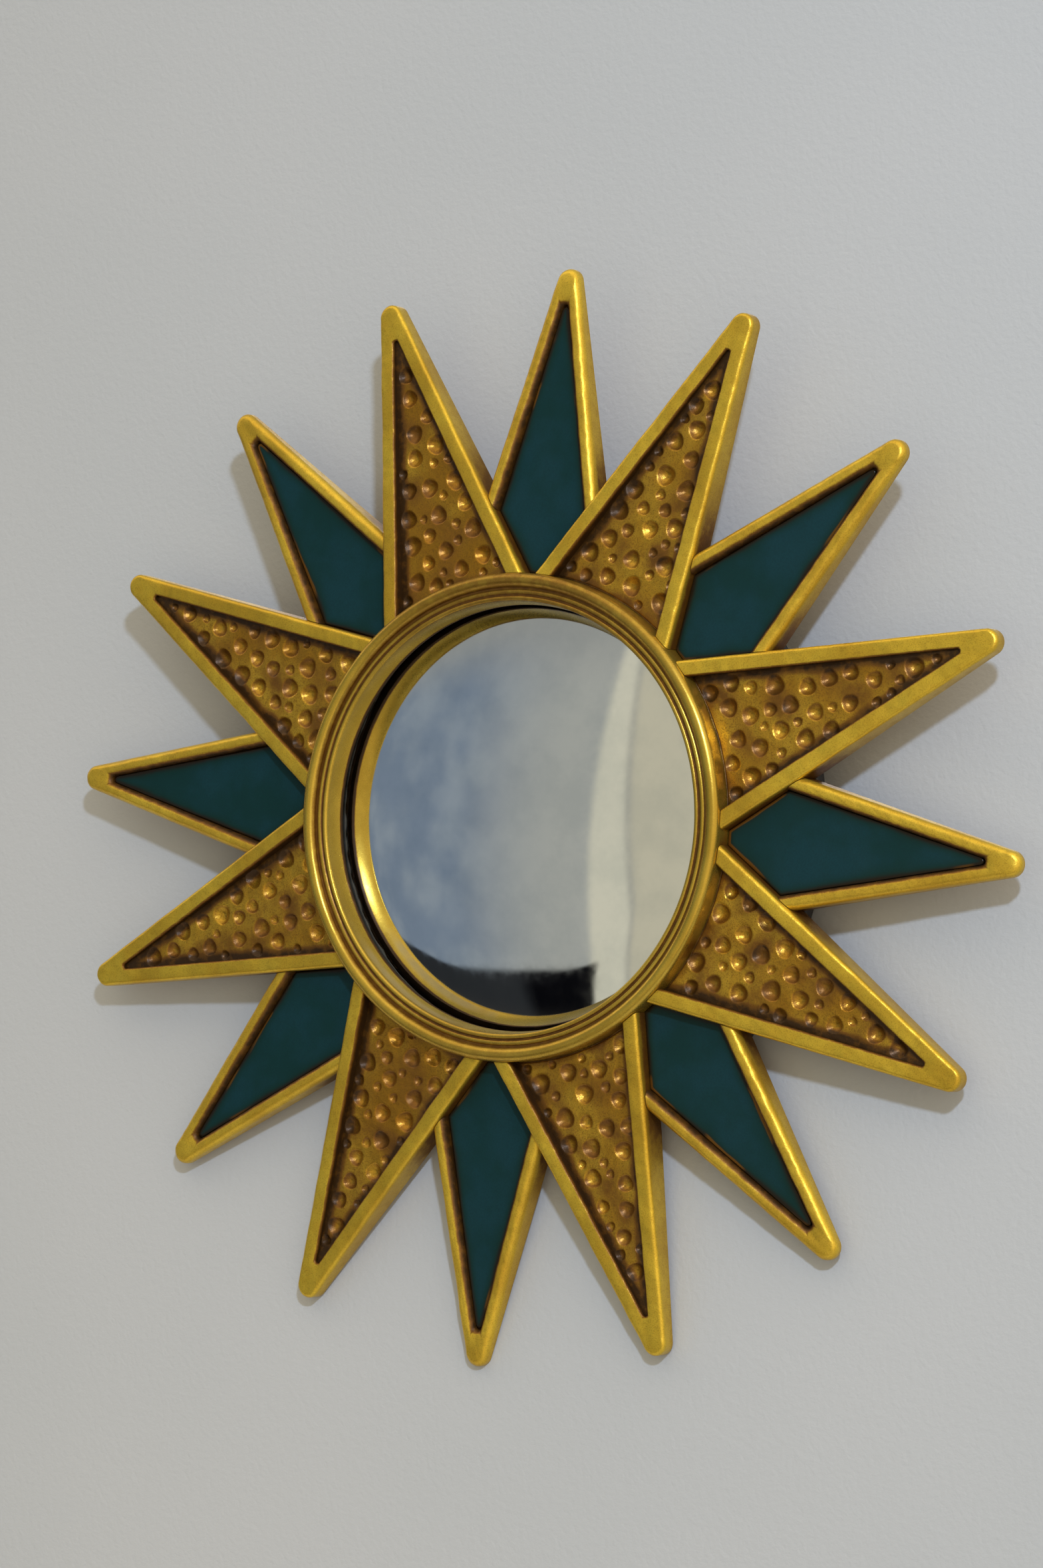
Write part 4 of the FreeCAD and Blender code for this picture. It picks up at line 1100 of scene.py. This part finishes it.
def room_light():
    """World light: dim plaster on the left, a pale band, warm light on the right and above, dark below."""
    world = bpy.data.worlds.new("soft_room")
    world.use_nodes = True
    bpy.context.scene.world = world
    tree = world.node_tree
    background = tree.nodes["Background"]
    way = add_node(tree, "ShaderNodeTexCoord").outputs["Generated"]
    split = add_node(tree, "ShaderNodeSeparateXYZ", {0: way})
    x, y, z = split.outputs
    ahead = calc(tree, "MAXIMUM", calc(tree, "MULTIPLY", y, -1.0), 0.02)
    side = calc(tree, "DIVIDE", x, ahead)
    rise = calc(tree, "DIVIDE", z, ahead)
    plaster = add_node(tree, "ShaderNodeTexNoise", {"Vector": way, "Scale": 9.0, "Detail": 5.0}).outputs[0]
    plaster = remap(tree, plaster, 0.36, 0.66)
    colour = blend(tree, plaster, *ROOM_PLASTER)
    for value, low, high, tone in ((side, -0.95, -0.40, ROOM_MIDDLE), (rise, 0.30, 0.60, ROOM_CEILING),
                                   (side, -1.6, -3.0, ROOM_FAR_LEFT)):
        colour = blend(tree, remap(tree, value, low, high), colour, tone)
    slant = calc(tree, "SUBTRACT", -0.22, calc(tree, "MULTIPLY", rise, 0.11))
    colour = blend(tree, remap(tree, side, -0.345, -0.315), colour, ROOM_BAND)
    right = remap(tree, calc(tree, "SUBTRACT", side, slant), -0.012, 0.012)
    colour = blend(tree, right, colour, ROOM_RIGHT)
    crease = band(tree, calc(tree, "SUBTRACT", side, slant), -0.02, 0.0, 0.02)
    colour = blend(tree, calc(tree, "MULTIPLY", crease, 0.8), colour, ROOM_CREASE)
    colour = blend(tree, remap(tree, side, 0.1, 0.8), colour, ROOM_WINDOW)
    chest = calc(tree, "ADD", calc(tree, "MULTIPLY", calc(tree, "ADD", side, 0.31), 0.156), -0.39)
    low = calc(tree, "SUBTRACT", rise, chest)
    dark = calc(tree, "MULTIPLY", remap(tree, low, 0.012, -0.012), remap(tree, side, -0.29, -0.32))
    colour = blend(tree, dark, colour, ROOM_CHEST)
    post = calc(tree, "MULTIPLY", dark, remap(tree, side, -0.64, -0.55))
    colour = blend(tree, post, colour, ROOM_POST)
    for value, low, high, tone in ((rise, -0.6, -1.1, ROOM_FLOOR), (rise, 0.62, 1.3, ROOM_ABOVE),
                                   (y, -0.02, 0.05, ROOM_BEHIND)):
        colour = blend(tree, remap(tree, value, low, high), colour, tone)
    tree.links.new(colour, background.inputs["Color"])


def lamp(name, way, away, size, watts, colour):
    """Round lamp that shines at the mirror."""
    data = bpy.data.lights.new(name, "AREA")
    data.shape = "DISK"
    data.size = size
    data.energy = watts
    data.color = colour
    holder = bpy.data.objects.new(name, data)
    bpy.context.scene.collection.objects.link(holder)
    holder.location = way.normalized() * away
    holder.rotation_euler = (-way).to_track_quat("-Z", "Y").to_euler()


def camera():
    """Camera where the photograph was taken."""
    data = bpy.data.cameras.new("photo_view")
    data.lens = CAMERA_LENS
    data.sensor_width = CAMERA_SENSOR
    data.clip_start = CAMERA_NEAR
    holder = bpy.data.objects.new("photo_view", data)
    bpy.context.scene.collection.objects.link(holder)
    turn = Matrix.Rotation(CAMERA_TURN.length, 3, CAMERA_TURN.normalized())
    axes = Matrix([turn @ Vector(axis) for axis in ((1, 0, 0), (0, 0, 1), (0, -1, 0))]).transposed()
    holder.matrix_world = Matrix.Translation(CAMERA_AT) @ axes.to_4x4()
    bpy.context.scene.camera = holder


hammered_gold = gilding("hammered_gilding", RIM_GOLD, speckle=0.28, peel=0.11, rough=0.33, metal=0.74)
rim_gold = gilding("stippled_gilding", RIM_GOLD, speckle=0.28, peel=0.10, rough=0.35, metal=0.66)
ring_gold = gilding("polished_gilding", RING_GOLD, speckle=0.14, peel=0.035, rough=0.28, metal=0.80)
pane_glass = teal_glass()

for number in range(1, PAIRS + 1):
    hammered_ray(number, hammered_gold)
    teal_frame(number, rim_gold)
    teal_pane(number, pane_glass)
gilt_ring(ring_gold)
dome(mirror_silver())
putty_bead(putty_grey())
dress(black_paint(), "back_disc")
dress(grainy("brown_hardboard", (1.5, 4, 0.7, (1, 1, 0.3)), BOARD_BROWN, 0.1, 0.8), "backing_board")
dress(plated_steel("zinc_strap", STRAP_ZINC, 0.36), "hanger_strap")
dress(plated_steel("zinc_wire", WIRE_ZINC, 0.30), "hanger_ring")
dress(plated_steel("yellow_zinc", YELLOW_ZINC, 0.34), "hanger_screws", "ray_screws", "ring_screws")
dress(grainy("matte_rubber", (0.8, 3, 0.6), RUBBER_BLACK, 0.05, 0.7), "wall_bumpers")
studio()
room_light()
lamp("key", KEY_WAY, KEY_AWAY, KEY_SIZE, KEY_WATTS, KEY_COLOUR)
lamp("rear", REAR_WAY, KEY_AWAY, REAR_SIZE, REAR_WATTS, REAR_COLOUR)
camera()
bpy.context.scene.view_settings.view_transform = "Standard"
